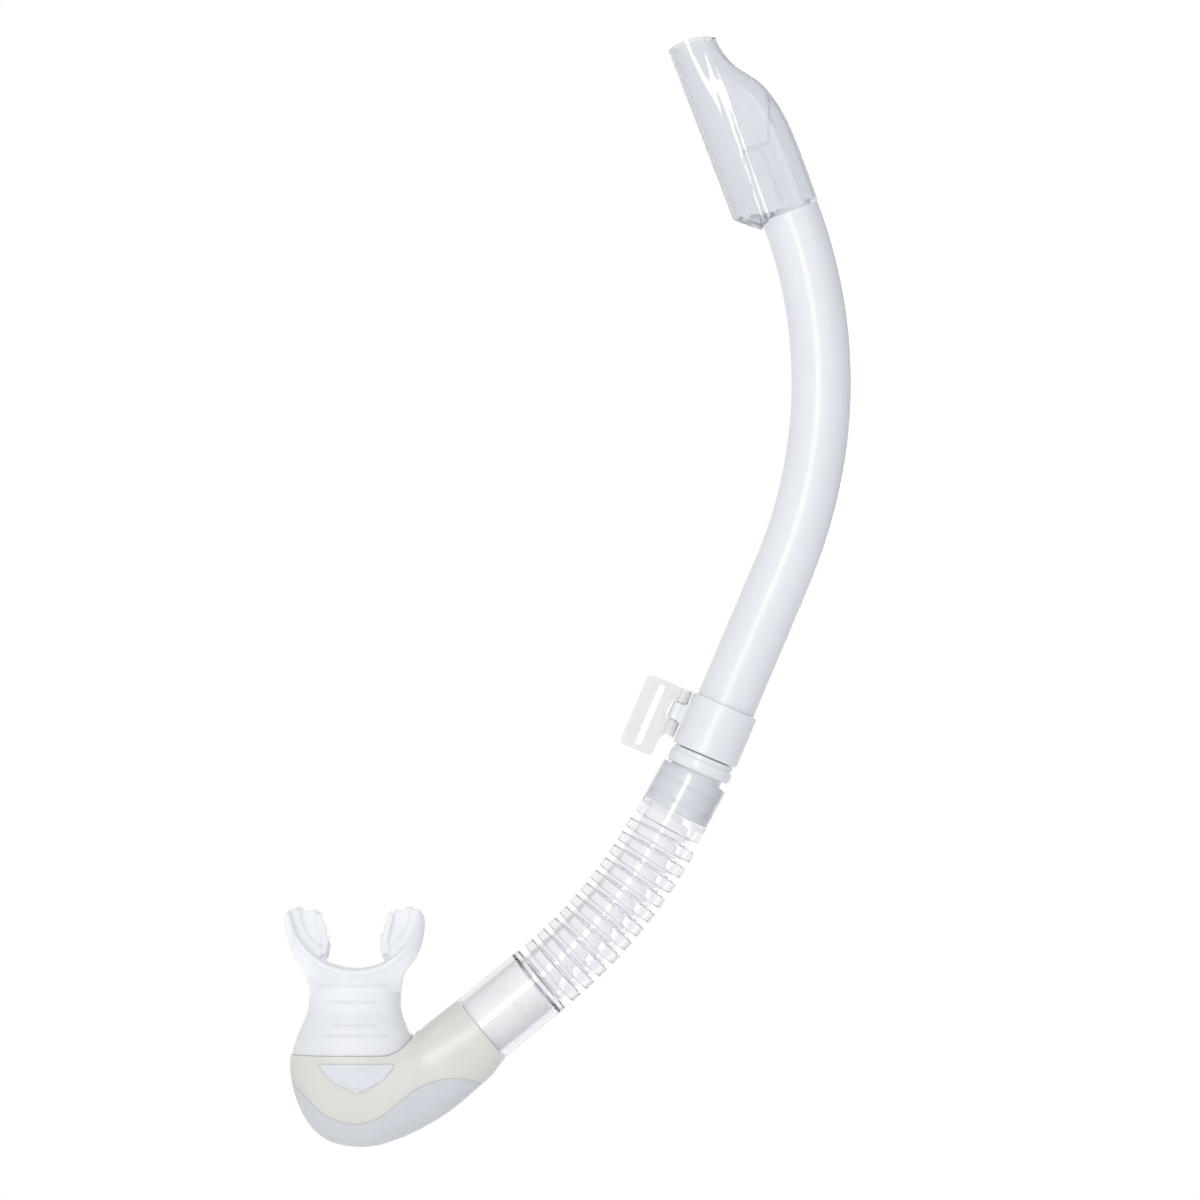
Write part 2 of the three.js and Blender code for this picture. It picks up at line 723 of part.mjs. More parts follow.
// The lip shield seen along Y: its outer face as a smooth outline, cut inside by the arch round the teeth.
function lipShield() {
  const side = [
    [18.2, -106],
    [19.9, -99.8],
    [23.8, -94.4],
    [26.3, -87.8],
    [27.3, -80.5],
    [26.6, -77.2],
    [24.6, -77],
  ];
  const right = new THREE.SplineCurve(side.map(([x, z]) => new THREE.Vector2(x, z))).getPoints(14);
  const left = right.map((point) => new THREE.Vector2(-point.x, point.y)).reverse();
  const outline = slab(new THREE.Shape([...right, ...left]), 2 * SHIELD_HALF_DEPTH);
  const levels = [-108, -75].map((z) => {
    const centre = new THREE.Vector3(0, 0, z);
    return ovalRing(centre, new THREE.Vector3(1, 0, 0), 27.6, SHIELD_HALF_DEPTH, 3, 36);
  });
  const arch = new THREE.Shape().absarc(0, ARCH_Z, ARCH_R, 0, 2 * Math.PI, false);
  return outline.intersect(loft(levels)).subtract(slab(arch, 80, 0, 40));
}

// A bite tab lies between the teeth, with a bead along its inner edge that sits behind them.
function biteTab() {
  const edge = [
    [24.9, -76.7],
    [21.6, -74.9],
    [18.7, -76],
    [14, -76.1],
    [12.2, -81],
    [10, -87.5],
    [10.4, -93.8],
    [13, -97.5],
  ];
  const root = [
    [22, -93],
    [26, -84],
  ];
  const strip = [
    [15.2, -77.5],
    [12.6, -77.5],
    [10.4, -87.5],
    [10.9, -93.5],
    [13.2, -93.5],
    [12.9, -87.5],
  ];
  const toPoint = ([x, z]) => new THREE.Vector2(x, z);
  const curve = new THREE.SplineCurve(edge.map(toPoint));
  const plate = new THREE.Shape([...curve.getPoints(21), ...root.map(toPoint)]);
  const bead = new THREE.Shape(strip.map(toPoint));
  return slab(plate, TAB_THICK).add(slab(bead, 2 * TAB_THICK));
}

function mouthpiece() {
  const airway = neck(SKIRT_WALL + 1, -98, -122);
  const mouth = loft(
    [-112, -96].map((z) => {
      const centre = new THREE.Vector3(0, 0, z);
      return ovalRing(centre, new THREE.Vector3(1, 0, 0), 12.5, 7, 2.6);
    }),
  );
  const skirtRoom = neck(SKIRT_WALL, -114, -140);
  const tabs = biteTab().add(biteTab().mirror([1, 0, 0]));
  const aboveSeam = box(120, 80, 120, MOUTH_X, 0, -100).subtract(belowSkirt(-GAP / 2));
  return lipShield()
    .add(tabs)
    .translate(MOUTH_X, 0, 0)
    .add(neck(0).intersect(aboveSeam))
    .subtract(airway)
    .subtract(skirtRoom)
    .subtract(mouth.translate(MOUTH_X, 0, 0));
}

// ---------- Assembly ----------

addPiece(keeperFrame, "keeper_clip", keeperClip(), milkyPlastic);
const pin = addPiece(keeperFrame, "keeper_pin", keeperPin(), whitePlastic);
pin.position.x = SLOT_TO_TUBE - PIN_TO_TUBE;

addPiece(tubeFrame, "keeper_collar", keeperCollar(), whitePlastic);
addPiece(tubeFrame, "barrel", barrel(), whitePlastic);
addPiece(guardFrame, "splash_guard", splashGuard(), clearPlastic);
addPiece(guardFrame, "guard_deflector", guardDeflector(), clearPlastic);

addPiece(spigotFrame, "hose_connector", hoseConnector(), whitePlastic);
addPiece(spigotFrame, "hose_upper_cuff", hoseUpperCuff(), clearSilicone);
for (let i = 0; i < RING_COUNT; i += 1) {
  const name = `hose_ring_${String(i + 1).padStart(2, "0")}`;
  addPiece(hoseFrame(FIRST_RING + i * RING_PITCH), name, hoseRing(), clearSilicone);
}
addPiece(lowerCuffFrame, "hose_lower_cuff", hoseLowerCuff(), clearSilicone);

addPiece(chamberFrame, "swivel_sleeve", swivelSleeve(), sleevePlastic);
addPiece(chamberFrame, "swivel_o_ring", swivelORing(), sealRubber);

addPiece(group, "mouthpiece_housing", mouthpieceHousing(), ivoryPlastic);
addPiece(group, "bottom_cover", bottomCover(), coverPlastic);
addPiece(group, "badge", badge(), coverPlastic);
addPiece(group, "purge_valve_seat", valveAxis(purgeValveSeat()), ivoryPlastic);
addPiece(group, "purge_flap", valveAxis(purgeFlap()), frostedSilicone);
addPiece(group, "mouthpiece", mouthpiece(), frostedSilicone);

export default group;
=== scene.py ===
# %% [markdown]
# # A snorkel, dressed piece by piece
#
# The frame below already holds every part of the snorkel as plain solids that fit and move. This lesson
# gives each of them its finished shape and surface: a glossy barrel, a clear splash guard, a soft ribbed
# hose, a two-tone purge chamber and a frosted mouthpiece. Shapes are drawn in millimetres, because that
# is how the parts are measured on the bench, and turned into metres when they become meshes.

# %% Load the frame
import json
import math

import bmesh
import bpy
from mathutils import Matrix, Vector


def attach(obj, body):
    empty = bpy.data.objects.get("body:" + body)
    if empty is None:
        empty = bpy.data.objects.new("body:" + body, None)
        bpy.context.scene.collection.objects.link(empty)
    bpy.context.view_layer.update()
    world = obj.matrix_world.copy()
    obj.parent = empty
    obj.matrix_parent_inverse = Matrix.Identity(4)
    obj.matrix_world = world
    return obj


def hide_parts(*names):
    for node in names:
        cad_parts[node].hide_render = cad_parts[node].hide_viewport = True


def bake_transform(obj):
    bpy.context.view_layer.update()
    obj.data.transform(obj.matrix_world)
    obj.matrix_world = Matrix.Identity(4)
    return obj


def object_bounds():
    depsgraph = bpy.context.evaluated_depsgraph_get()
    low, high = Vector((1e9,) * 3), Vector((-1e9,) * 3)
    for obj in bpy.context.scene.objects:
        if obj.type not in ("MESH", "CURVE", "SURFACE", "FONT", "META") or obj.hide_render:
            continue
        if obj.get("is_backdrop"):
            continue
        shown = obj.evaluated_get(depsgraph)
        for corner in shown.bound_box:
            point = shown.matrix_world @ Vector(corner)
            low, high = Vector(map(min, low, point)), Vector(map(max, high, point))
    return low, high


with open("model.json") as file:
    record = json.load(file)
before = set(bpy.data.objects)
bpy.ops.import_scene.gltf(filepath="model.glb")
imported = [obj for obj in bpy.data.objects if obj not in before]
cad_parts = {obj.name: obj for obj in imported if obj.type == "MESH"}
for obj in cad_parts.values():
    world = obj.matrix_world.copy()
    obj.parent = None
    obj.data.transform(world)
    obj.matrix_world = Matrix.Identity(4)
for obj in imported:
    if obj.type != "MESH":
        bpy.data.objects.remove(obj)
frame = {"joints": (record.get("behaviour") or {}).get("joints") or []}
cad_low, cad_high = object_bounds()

MM = 0.001
JOINTS = {joint["name"]: joint for joint in frame["joints"]}

# %% [markdown]
# ## Where everything sits
#
# All the snorkel's centre lines lie in one upright plane, so a place is only x, z and a lean in degrees.
# The hinges already know those places: the collar's joint gives the tube's axis, the swivel gives the
# chamber's, and the hose's hinges lie on the arc that the hose is bent to.

# %% Frames read off the joints
def frame_at(parent, x, z, lean):
    """A frame x and z millimetres from its parent, tipped towards +X by lean degrees."""
    return parent @ Matrix.Translation((x, 0, z)) @ Matrix.Rotation(math.radians(lean), 4, "Y")


def joint_spot(name):
    return Vector(JOINTS[name]["pos_m"]) / MM


def axis_lean(name):
    axis = JOINTS[name]["axis"]
    return math.degrees(math.atan2(axis[0], axis[2]))


WORLD = Matrix.Identity(4)
TUBE_LEAN = axis_lean("barrel_turn")
tube_spot = joint_spot("barrel_turn")
SLOT_TO_TUBE = tube_spot.length
keeper_frame = frame_at(WORLD, 0, 0, TUBE_LEAN)
tube_frame = frame_at(WORLD, tube_spot.x, tube_spot.z, TUBE_LEAN)
swivel_spot = joint_spot("mouthpiece_swivel")
chamber_frame = frame_at(WORLD, swivel_spot.x, swivel_spot.z, axis_lean("mouthpiece_swivel"))
print(f"tube leans {TUBE_LEAN:.1f} degrees, {SLOT_TO_TUBE:.1f} mm from the strap slot")

# %% The barrel's bend and the hose's arc
STRAIGHT_UP = 72.2
BEND_R = 186.8
BEND_ANGLE = 44
BARREL_FOOT = -6.3
SHOULDER_HEIGHT = 5.9
SPIGOT_BEND = 5.2
UPPER_CUFF_LENGTH = 25.9
LOWER_CUFF_LENGTH = 30.6

bend = math.radians(BEND_ANGLE)
guard_frame = frame_at(
    tube_frame, BEND_R * (math.cos(bend) - 1), STRAIGHT_UP + BEND_R * math.sin(bend), -BEND_ANGLE,
)
spigot_frame = frame_at(tube_frame, 0, BARREL_FOOT - SHOULDER_HEIGHT, SPIGOT_BEND)


def crosswise_lean(name):
    """The hose's lean at a fore-and-aft hinge, whose axis lies square across the hose."""
    axis = JOINTS[name]["axis"]
    return math.atan2(-axis[2], axis[0])


fore_turn = crosswise_lean("hose_bend_fore_6") - crosswise_lean("hose_bend_fore")
fore_chord = (joint_spot("hose_bend_fore_6") - joint_spot("hose_bend_fore")).length
HOSE_ARC_R = fore_chord / (2 * math.sin(fore_turn / 2))


def hose_frame(distance):
    """A frame on the hose's centre line, this far below the upper cuff, with +Z up the hose."""
    turn = distance / HOSE_ARC_R
    x = -HOSE_ARC_R * (1 - math.cos(turn))
    z = -UPPER_CUFF_LENGTH - HOSE_ARC_R * math.sin(turn)
    return frame_at(spigot_frame, x, z, math.degrees(turn))


RIB_COUNT = 11
RIB_PITCH = 6.61
FIRST_RIB = 5.3
HOSE_STRETCH = 2 * FIRST_RIB + (RIB_COUNT - 1) * RIB_PITCH
lower_cuff_frame = hose_frame(HOSE_STRETCH)
meeting = frame_at(lower_cuff_frame, 0, -LOWER_CUFF_LENGTH, 0).translation
print(f"hose arc {HOSE_ARC_R:.1f} mm; it meets the swivel within {(meeting - swivel_spot).length:.2f} mm")

# %% [markdown]
# ## Studio
#
# White plastic and clear rubber show up only by what they reflect, so the light matters as much as the
# finish. The surroundings are bright near eye level and greyer overhead, underfoot and most of all to
# the right: that is what shades the tubes' right edges and draws the thin lines round clear parts. One
# tall soft lamp gives the long streak down the barrel, and a second one does the same for the back.
# Lamps are hidden from light that has passed through a clear wall, where they would show as white
# bands. The camera stands three metres off with a long lens, level with the snorkel.

# %% Camera
VIEW_DISTANCE = 3.0
VIEW_WIDTH = 0.468
VIEW_CENTRE = (-0.0195, 0.0447)
SENSOR = 36

camera_data = bpy.data.cameras.new("camera")
camera_data.sensor_width = SENSOR
camera_data.lens = SENSOR * VIEW_DISTANCE / VIEW_WIDTH
camera = bpy.data.objects.new("camera", camera_data)
camera.location = (VIEW_CENTRE[0], -VIEW_DISTANCE, VIEW_CENTRE[1])
camera.rotation_euler = (math.pi / 2, 0, 0)
bpy.context.scene.collection.objects.link(camera)
bpy.context.scene.camera = camera
bpy.context.scene.view_settings.view_transform = "Standard"
print(f"lens {camera_data.lens:.0f} mm")

# %% Node helpers
def set_inputs(node, **values):
    """Types even values into a node's inputs, whose names have _ for a space."""
    for title, value in values.items():
        node.inputs[title.replace("_", " ")].default_value = value
    return node


def add_node(tree, kind, **values):
    return set_inputs(tree.nodes.new(kind), **values)


def link(tree, *wires):
    """Joins nodes. A wire is a node and its output, then a node and its input."""
    for source, outlet, target, inlet in wires:
        tree.links.new(source.outputs[outlet], target.inputs[inlet])


def colour_ramp(tree, first, last, stops):
    node = add_node(tree, "ShaderNodeValToRGB")
    node.color_ramp.elements[0].color = (*first, 1)
    node.color_ramp.elements[1].color = (*last, 1)
    for place, colour in stops:
        node.color_ramp.elements.new(place).color = (*colour, 1)
    return node


def colour_mix(tree, blend_type="MIX"):
    node = add_node(tree, "ShaderNodeMix")
    node.data_type = "RGBA"
    node.blend_type = blend_type
    return node


def new_group(name, kind, entries, results):
    """A node group with its sockets, its input node and its output node."""
    group = bpy.data.node_groups.new(name, kind)
    for way, sockets in (("INPUT", entries), ("OUTPUT", results)):
        for title, carries, value in sockets:
            socket = group.interface.new_socket(title, in_out=way, socket_type="NodeSocket" + carries)
            if value is not None:
                socket.default_value = value
    return group, add_node(group, "NodeGroupInput"), add_node(group, "NodeGroupOutput")


# %% Floor
FLOOR_DROP = 0.17
FLOOR_R = 1.6


def add_floor():
    shape = bmesh.new()
    bmesh.ops.create_circle(shape, cap_ends=True, segments=96, radius=FLOOR_R)
    mesh = bpy.data.meshes.new("floor")
    shape.to_mesh(mesh)
    shape.free()
    floor = bpy.data.objects.new("floor", mesh)
    floor.location.z = cad_low.z - FLOOR_DROP
    bpy.context.scene.collection.objects.link(floor)
    material = bpy.data.materials.new("pale_floor")
    material.use_nodes = True
    principled = material.node_tree.nodes["Principled BSDF"]
    set_inputs(principled, Base_Color=(0.98, 0.98, 0.98, 1), Roughness=0.8)
    floor.data.materials.append(material)
    floor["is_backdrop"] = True


add_floor()
print(f"floor {FLOOR_DROP * 1000:.0f} mm below the snorkel")

# %% Surroundings and lamps
HEIGHT_SHADES = ((0.36, 0.72), (0.5, 0.95), (0.64, 0.95), (0.78, 0.62))
SIDE_SHADES = ((0.3, 1), (0.66, 1))
BLUISH = 1.01


def add_surroundings():
    world = bpy.data.worlds.new("studio")
    bpy.context.scene.world = world
    world.use_nodes = True
    tree = world.node_tree
    tree.nodes.clear()
    split = add_node(tree, "ShaderNodeSeparateXYZ")
    lift = add_node(tree, "ShaderNodeMapRange", From_Min=-1)
    stops = [(place, (shade, shade, shade * BLUISH)) for place, shade in HEIGHT_SHADES]
    heights = colour_ramp(tree, (0.34, 0.36, 0.39), (0.8, 0.82, 0.85), stops)
    across = add_node(tree, "ShaderNodeMapRange", From_Min=-1)
    stops = [(place, (shade, shade, shade)) for place, shade in SIDE_SHADES]
    sides = colour_ramp(tree, (0.86, 0.89, 0.93), (0.34, 0.38, 0.45), stops)
    both = colour_mix(tree, "MULTIPLY")
    both.inputs["Factor"].default_value = 1
    lighting = add_node(tree, "ShaderNodeBackground")
    backdrop = add_node(tree, "ShaderNodeBackground", Color=(1, 1, 1, 1))
    shown = add_node(tree, "ShaderNodeMixShader")
    link(
        tree,
        (add_node(tree, "ShaderNodeTexCoord"), "Generated", split, "Vector"),
        (split, "Z", lift, "Value"),
        (lift, "Result", heights, "Fac"),
        (heights, "Color", both, "A"),
        (split, "X", across, "Value"),
        (across, "Result", sides, "Fac"),
        (sides, "Color", both, "B"),
        (both, "Result", lighting, "Color"),
        (add_node(tree, "ShaderNodeLightPath"), "Is Camera Ray", shown, "Fac"),
        (lighting, "Background", shown, 1),
        (backdrop, "Background", shown, 2),
        (shown, "Shader", add_node(tree, "ShaderNodeOutputWorld"), "Surface"),
    )


def add_lamp(name, spot, width, height, power):
    data = bpy.data.lights.new(name, "AREA")
    data.shape = "RECTANGLE"
    data.size = width
    data.size_y = height
    data.energy = power
    lamp = bpy.data.objects.new(name, data)
    lamp.location = spot
    aim = Vector((VIEW_CENTRE[0], 0, VIEW_CENTRE[1])) - Vector(spot)
    lamp.rotation_euler = aim.to_track_quat("-Z", "Y").to_euler()
    lamp.visible_transmission = False
    bpy.context.scene.collection.objects.link(lamp)


add_surroundings()
add_lamp("tall_softbox", (-0.42, -1.95, 0.5), 0.42, 1.3, 13)
add_lamp("fill_card", (1.2, -1.6, 0.9), 0.8, 0.8, 2.5)
add_lamp("back_softbox", (0.6, 1.85, 0.5), 0.42, 1.3, 11)

# %% [markdown]
# ## Finishes
#
# Every moulded surface has the same three small faults: the colour drifts a little from place to place,
# the gloss is patchy, and the skin has a fine orange peel. One node group makes all three from object
# coordinates, and each finish sets its own amounts. A second group lays hairline scuffs over the glossy
# plastics. The shader itself stays in each material, with its even values typed into its own sockets.

# %% Shared surface groups
def moulded_skin_group():
    group, enter, leave = new_group(
        "moulded_skin",
        "ShaderNodeTree",
        [
            ("Tone A", "Color", (0.8, 0.8, 0.8, 1)), ("Tone B", "Color", (0.7, 0.7, 0.7, 1)),
            ("Patch Scale", "Float", 60), ("Gloss Low", "Float", 0.2), ("Gloss High", "Float", 0.3),
            ("Grain Scale", "Float", 1500),
        ],
        [("Color", "Color", None), ("Roughness", "Float", None), ("Height", "Float", None)],
    )
    where = add_node(group, "ShaderNodeTexCoord")
    patches = add_node(group, "ShaderNodeTexNoise", Detail=3)
    spread = add_node(group, "ShaderNodeMapRange", From_Min=0.35, From_Max=0.65)
    tones = colour_mix(group)
    grain = add_node(group, "ShaderNodeTexNoise", Detail=2)
    gloss = add_node(group, "ShaderNodeMapRange")
    link(
        group,
        (where, "Object", patches, "Vector"),
        (enter, "Patch Scale", patches, "Scale"),
        (patches, "Fac", spread, "Value"),
        (spread, "Result", tones, "Factor"),
        (enter, "Tone A", tones, "A"),
        (enter, "Tone B", tones, "B"),
        (tones, "Result", leave, "Color"),
        (where, "Object", grain, "Vector"),
        (enter, "Grain Scale", grain, "Scale"),
        (grain, "Fac", leave, "Height"),
        (patches, "Fac", gloss, "Value"),
        (enter, "Gloss Low", gloss, "To Min"),
        (enter, "Gloss High", gloss, "To Max"),
        (gloss, "Result", leave, "Roughness"),
    )
    return group


def scuff_group():
    group, enter, leave = new_group(
        "hairline_scuffs", "ShaderNodeTree",
        [("Roughness", "Float", 0.2), ("Amount", "Float", 0.1), ("Along", "Vector", (300, 900, 40))],
        [("Roughness", "Float", None)],
    )
    stretch = add_node(group, "ShaderNodeVectorMath")
    stretch.operation = "MULTIPLY"
    lines = add_node(group, "ShaderNodeTexNoise", Scale=1, Detail=2)
    thin = add_node(group, "ShaderNodeMapRange", From_Min=0.64, From_Max=0.72)
    scaled = add_node(group, "ShaderNodeMath")
    scaled.operation = "MULTIPLY_ADD"
    link(
        group,
        (add_node(group, "ShaderNodeTexCoord"), "Object", stretch, 0),
        (enter, "Along", stretch, 1),
        (stretch, "Vector", lines, "Vector"),
        (lines, "Fac", thin, "Value"),
        (thin, "Result", scaled, 0),
        (enter, "Amount", scaled, 1),
        (enter, "Roughness", scaled, 2),
        (scaled, "Value", leave, "Roughness"),
    )
    return group


MOULDED_SKIN = moulded_skin_group()
HAIRLINE_SCUFFS = scuff_group()
print("surface groups:", MOULDED_SKIN.name, HAIRLINE_SCUFFS.name)

# %% One finish from the groups
PEEL_DEPTH = 0.0001
SOFT_DEPTHS = (1, 0.96, 0.92)


def finish(name, tones, gloss, patch=60, grain=1500, peel=0.1, scuffs=0, lamp_tint=None, **shader):
    """A moulded finish: two tones, a gloss range, and the shader's own even values by socket name."""
    material = bpy.data.materials.new(name)
    material.use_nodes = True
    tree = material.node_tree
    principled = tree.nodes["Principled BSDF"]
    set_inputs(principled, Subsurface_Radius=SOFT_DEPTHS, **shader)
    skin = add_node(tree, "ShaderNodeGroup")
    skin.node_tree = MOULDED_SKIN
    set_inputs(skin, Tone_A=(*tones[0], 1), Tone_B=(*tones[1], 1), Patch_Scale=patch)
    set_inputs(skin, Gloss_Low=gloss[0], Gloss_High=gloss[1], Grain_Scale=grain)
    bump = add_node(tree, "ShaderNodeBump", Strength=peel, Distance=PEEL_DEPTH)
    link(
        tree,
        (skin, "Color", principled, "Base Color"),
        (skin, "Height", bump, "Height"),
        (bump, "Normal", principled, "Normal"),
    )
    glossy = skin
    if scuffs:
        glossy = add_node(tree, "ShaderNodeGroup")
        glossy.node_tree = HAIRLINE_SCUFFS
        set_inputs(glossy, Amount=scuffs)
        link(tree, (skin, "Roughness", glossy, "Roughness"))
    link(tree, (glossy, "Roughness", principled, "Roughness"))
    if lamp_tint:
        through = add_node(tree, "ShaderNodeBsdfTransparent", Color=(*lamp_tint, 1))
        mix = add_node(tree, "ShaderNodeMixShader")
        link(
            tree,
            (add_node(tree, "ShaderNodeLightPath"), "Is Shadow Ray", mix, "Fac"),
            (principled, "BSDF", mix, 1),
            (through, "BSDF", mix, 2),
            (mix, "Shader", tree.nodes["Material Output"], "Surface"),
        )
    return material


# %% [markdown]
# ## The snorkel's own finishes
#
# Rigid white parts are glossy plastic that lets a little light in, which softens their shadows. The
# guard, cuffs and ribs are see-through, so they are modelled with real wall thickness and refract.
# Clear pieces also let lamp light pass straight on, or whatever stands inside them would be in shadow.
# Frosted silicone sits in between: cloudy, soft at the edges and slightly blue.

# %% Materials
WHITE_PLASTIC = finish(
    "white_barrel_plastic", [(0.745, 0.76, 0.787), (0.728, 0.744, 0.772)], (0.24, 0.34), patch=25,
    peel=0.06, scuffs=0.12, Subsurface_Weight=0.15, Subsurface_Scale=0.003, IOR=1.5,
)
MILKY_PLASTIC = finish(
    "milky_keeper_plastic", [(0.755, 0.757, 0.757), (0.735, 0.738, 0.74)], (0.2, 0.3), patch=120,
    peel=0.12, Subsurface_Weight=0.5, Subsurface_Scale=0.004, Transmission_Weight=0.06, IOR=1.5,
)
CLEAR_GUARD = finish(
    "clear_guard_plastic", [(0.825, 0.835, 0.852), (0.81, 0.821, 0.841)], (0.02, 0.06), patch=40,
    grain=400, peel=0.08, scuffs=0.06, lamp_tint=(0.85, 0.87, 0.9), Transmission_Weight=0.86, IOR=1.49,
)
CLEAR_SILICONE = finish(
    "clear_hose_silicone", [(0.956, 0.962, 0.974), (0.945, 0.952, 0.967)], (0.01, 0.05), patch=80,
    grain=300, peel=0.1, lamp_tint=(0.96, 0.965, 0.97), Transmission_Weight=1, IOR=1.41,
)
SLEEVE_PLASTIC = finish(
    "warm_sleeve_plastic", [(0.83, 0.82, 0.805), (0.81, 0.80, 0.787)], (0.25, 0.35), patch=70, peel=0.1,
    Subsurface_Weight=0.2, Subsurface_Scale=0.003,
)
IVORY_PLASTIC = finish(
    "ivory_housing_plastic", [(0.675, 0.67, 0.618), (0.652, 0.648, 0.598)], (0.26, 0.36), patch=45,
    grain=2600, peel=0.3, Subsurface_Weight=0.2, Subsurface_Scale=0.004,
)
# The bottom cover and the badge are one milky plastic in two tones. The cover's darker tone is painted
# shade for the underside of the chamber. The badge's lighter tone is the same plastic as it shows lit on
# the front.
COVER_PLASTIC_PAINTED_SHADE, BADGE_PLASTIC_PAINTED_LIGHT = (
    finish(
        name, tones, (0.22, 0.3), patch=60, grain=2200, peel=0.2, Subsurface_Weight=0.35,
        Subsurface_Scale=0.004,
    )
    for name, tones in (
        ("milky_cover_plastic", [(0.615, 0.635, 0.662), (0.597, 0.618, 0.646)]),
        ("milky_badge_plastic", [(0.695, 0.714, 0.752), (0.676, 0.697, 0.737)]),
    )
)
FROSTED_SILICONE = finish(
    "frosted_silicone", [(0.88, 0.89, 0.912), (0.86, 0.872, 0.897)], (0.34, 0.46), patch=90, grain=3200,
    peel=0.35, lamp_tint=(0.45, 0.46, 0.47), Subsurface_Weight=0.45, Subsurface_Scale=0.005,
    Transmission_Weight=0.22, IOR=1.41,
)
SEAL_RUBBER = finish(
    "black_seal_rubber", [(0.045, 0.047, 0.05), (0.06, 0.062, 0.065)], (0.45, 0.6), patch=300,
    grain=4000, peel=0.4,
)
print("finishes:", len(bpy.data.materials) - 1)

# %% [markdown]
# ## Outlines
#
# Moulded parts have no knife edges. An outline is drawn with a few corners, each with its own rounding,
# and the corners are replaced by short arcs. The same helper serves turned profiles and flat shapes.

# %% Rounded outlines
def rounded(corners, radius=0.0, steps=4):
    """A closed outline through (a, b) or (a, b, radius) corners, with each corner turned into an arc."""
    points = []
    for i, corner in enumerate(corners):
        here = Vector(corner[:2])
        before = Vector(corners[i - 1][:2])
        after = Vector(corners[(i + 1) % len(corners)][:2])
        size = corner[2] if len(corner) > 2 else radius
        reach = min(size, 0.49 * (before - here).length, 0.49 * (after - here).length)
        if reach < 1e-4:
            points.append(here)
            continue
        enter = here + (before - here).normalized() * reach
        leave = here + (after - here).normalized() * reach
        for k in range(steps + 1):
            t = k / steps
            points.append(enter * (1 - t) ** 2 + here * 2 * t * (1 - t) + leave * t**2)
    return points


def with_steps(points, longest):
    """The same closed outline with its long straight stretches divided."""
    divided = []
    for here, after in zip(points, points[1:] + points[:1]):
        count = max(1, math.ceil((after - here).length / longest))
        divided += [here.lerp(after, k / count) for k in range(count)]
    return divided


def between(a, b, c, d, t):
    """One value of a smooth curve, a share t of the way from b to c; a and d are the next ones out."""
    square = a - 2.5 * b + 2 * c - d / 2
    cubic = 1.5 * (b - c) + (d - a) / 2
    return b + t * ((c - a) / 2 + t * (square + t * cubic))


def smooth_path(points, per_span=8):
    """A smooth curve through points of any number of values, as a list of tuples."""
    path = []
    last = len(points) - 1
    for i in range(last):
        around = [points[j] for j in (max(i - 1, 0), i, i + 1, min(i + 2, last))]
        for k in range(per_span):
            path.append(tuple(between(*values, k / per_span) for values in zip(*around)))
    path.append(tuple(points[last]))
    return path


def circle(count, radius_a, radius_b, a=0.0, b=0.0):
    """Points round a circle, or an oval where the radii differ, about (a, b)."""
    turns = (2 * math.pi * i / count for i in range(count))
    return [(a + radius_a * math.cos(t), b + radius_b * math.sin(t)) for t in turns]


def level_circle(count, radius, height, x=0.0, y=0.0):
    return [(*spot, height) for spot in circle(count, radius, radius, x, y)]


# %% Plain mesh helpers
CUT_REACH = 40
EASE_ANGLE = math.radians(40)


def new_piece(name, points, faces, place=WORLD):
    """A mesh from millimetre points in a frame, with its faces turned outwards."""
    mesh = bpy.data.meshes.new(name)
    mesh.from_pydata([tuple(place @ Vector(p) * MM) for p in points], [], faces)
    shape = bmesh.new()
    shape.from_mesh(mesh)
    bmesh.ops.remove_doubles(shape, verts=shape.verts, dist=1e-7)
    bmesh.ops.recalc_face_normals(shape, faces=shape.faces)
    shape.to_mesh(mesh)
    shape.free()
    piece = bpy.data.objects.new(name, mesh)
    bpy.context.scene.collection.objects.link(piece)
    return piece


def loft(name, rings, place=WORLD):
    """A closed solid through rings of equally many points."""
    count = len(rings[0])
    points = [p for ring in rings for p in ring]
    faces = []
    for r in range(len(rings) - 1):
        for c in range(count):
            d = (c + 1) % count
            faces.append((r * count + c, r * count + d, (r + 1) * count + d, (r + 1) * count + c))
    for r in (0, len(rings) - 1):
        centre = sum((Vector(p) for p in rings[r]), Vector()) / count
        points.append(tuple(centre))
        hub = len(points) - 1
        faces += [(r * count + c, r * count + (c + 1) % count, hub) for c in range(count)]
    return new_piece(name, points, faces, place)


def slab(name, outline, low, high, place=WORLD):
    """A flat shape drawn in x and z, from y = low to y = high."""
    count = len(outline)
    points = [(p[0], y, p[1]) for y in (low, high) for p in outline]
    faces = [tuple(range(count)), tuple(range(count, 2 * count))]
    faces += [(c, (c + 1) % count, count + (c + 1) % count, count + c) for c in range(count)]
    return new_piece(name, points, faces, place)


def block(name, size, centre, place=WORLD):
    x, y, z = (s / 2 for s in size)
    outline = [(centre[0] + a, centre[2] + b) for a, b in ((-x, -z), (x, -z), (x, z), (-x, z))]
    return slab(name, outline, centre[1] - y, centre[1] + y, place)


def settle(piece):
    """Makes what the piece's modifiers show its own mesh, and removes them."""
    seen = piece.evaluated_get(bpy.context.evaluated_depsgraph_get())
    mesh = bpy.data.meshes.new_from_object(seen)
    mesh.name = piece.name
    piece.modifiers.clear()
    piece.data = mesh
    return piece


def combine(piece, other, operation):
    step = piece.modifiers.new("combine", "BOOLEAN")
    step.operation = operation
    step.solver = "MANIFOLD"
    step.object = other
    settle(piece)
    bpy.data.objects.remove(other)
    return piece


def cut(piece, *others):
    for other in others:
        combine(piece, other, "DIFFERENCE")
    return piece


def join(piece, *others):
    for other in others:
        combine(piece, other, "UNION")
    return piece


def keep(piece, other):
    return combine(piece, other, "INTERSECT")


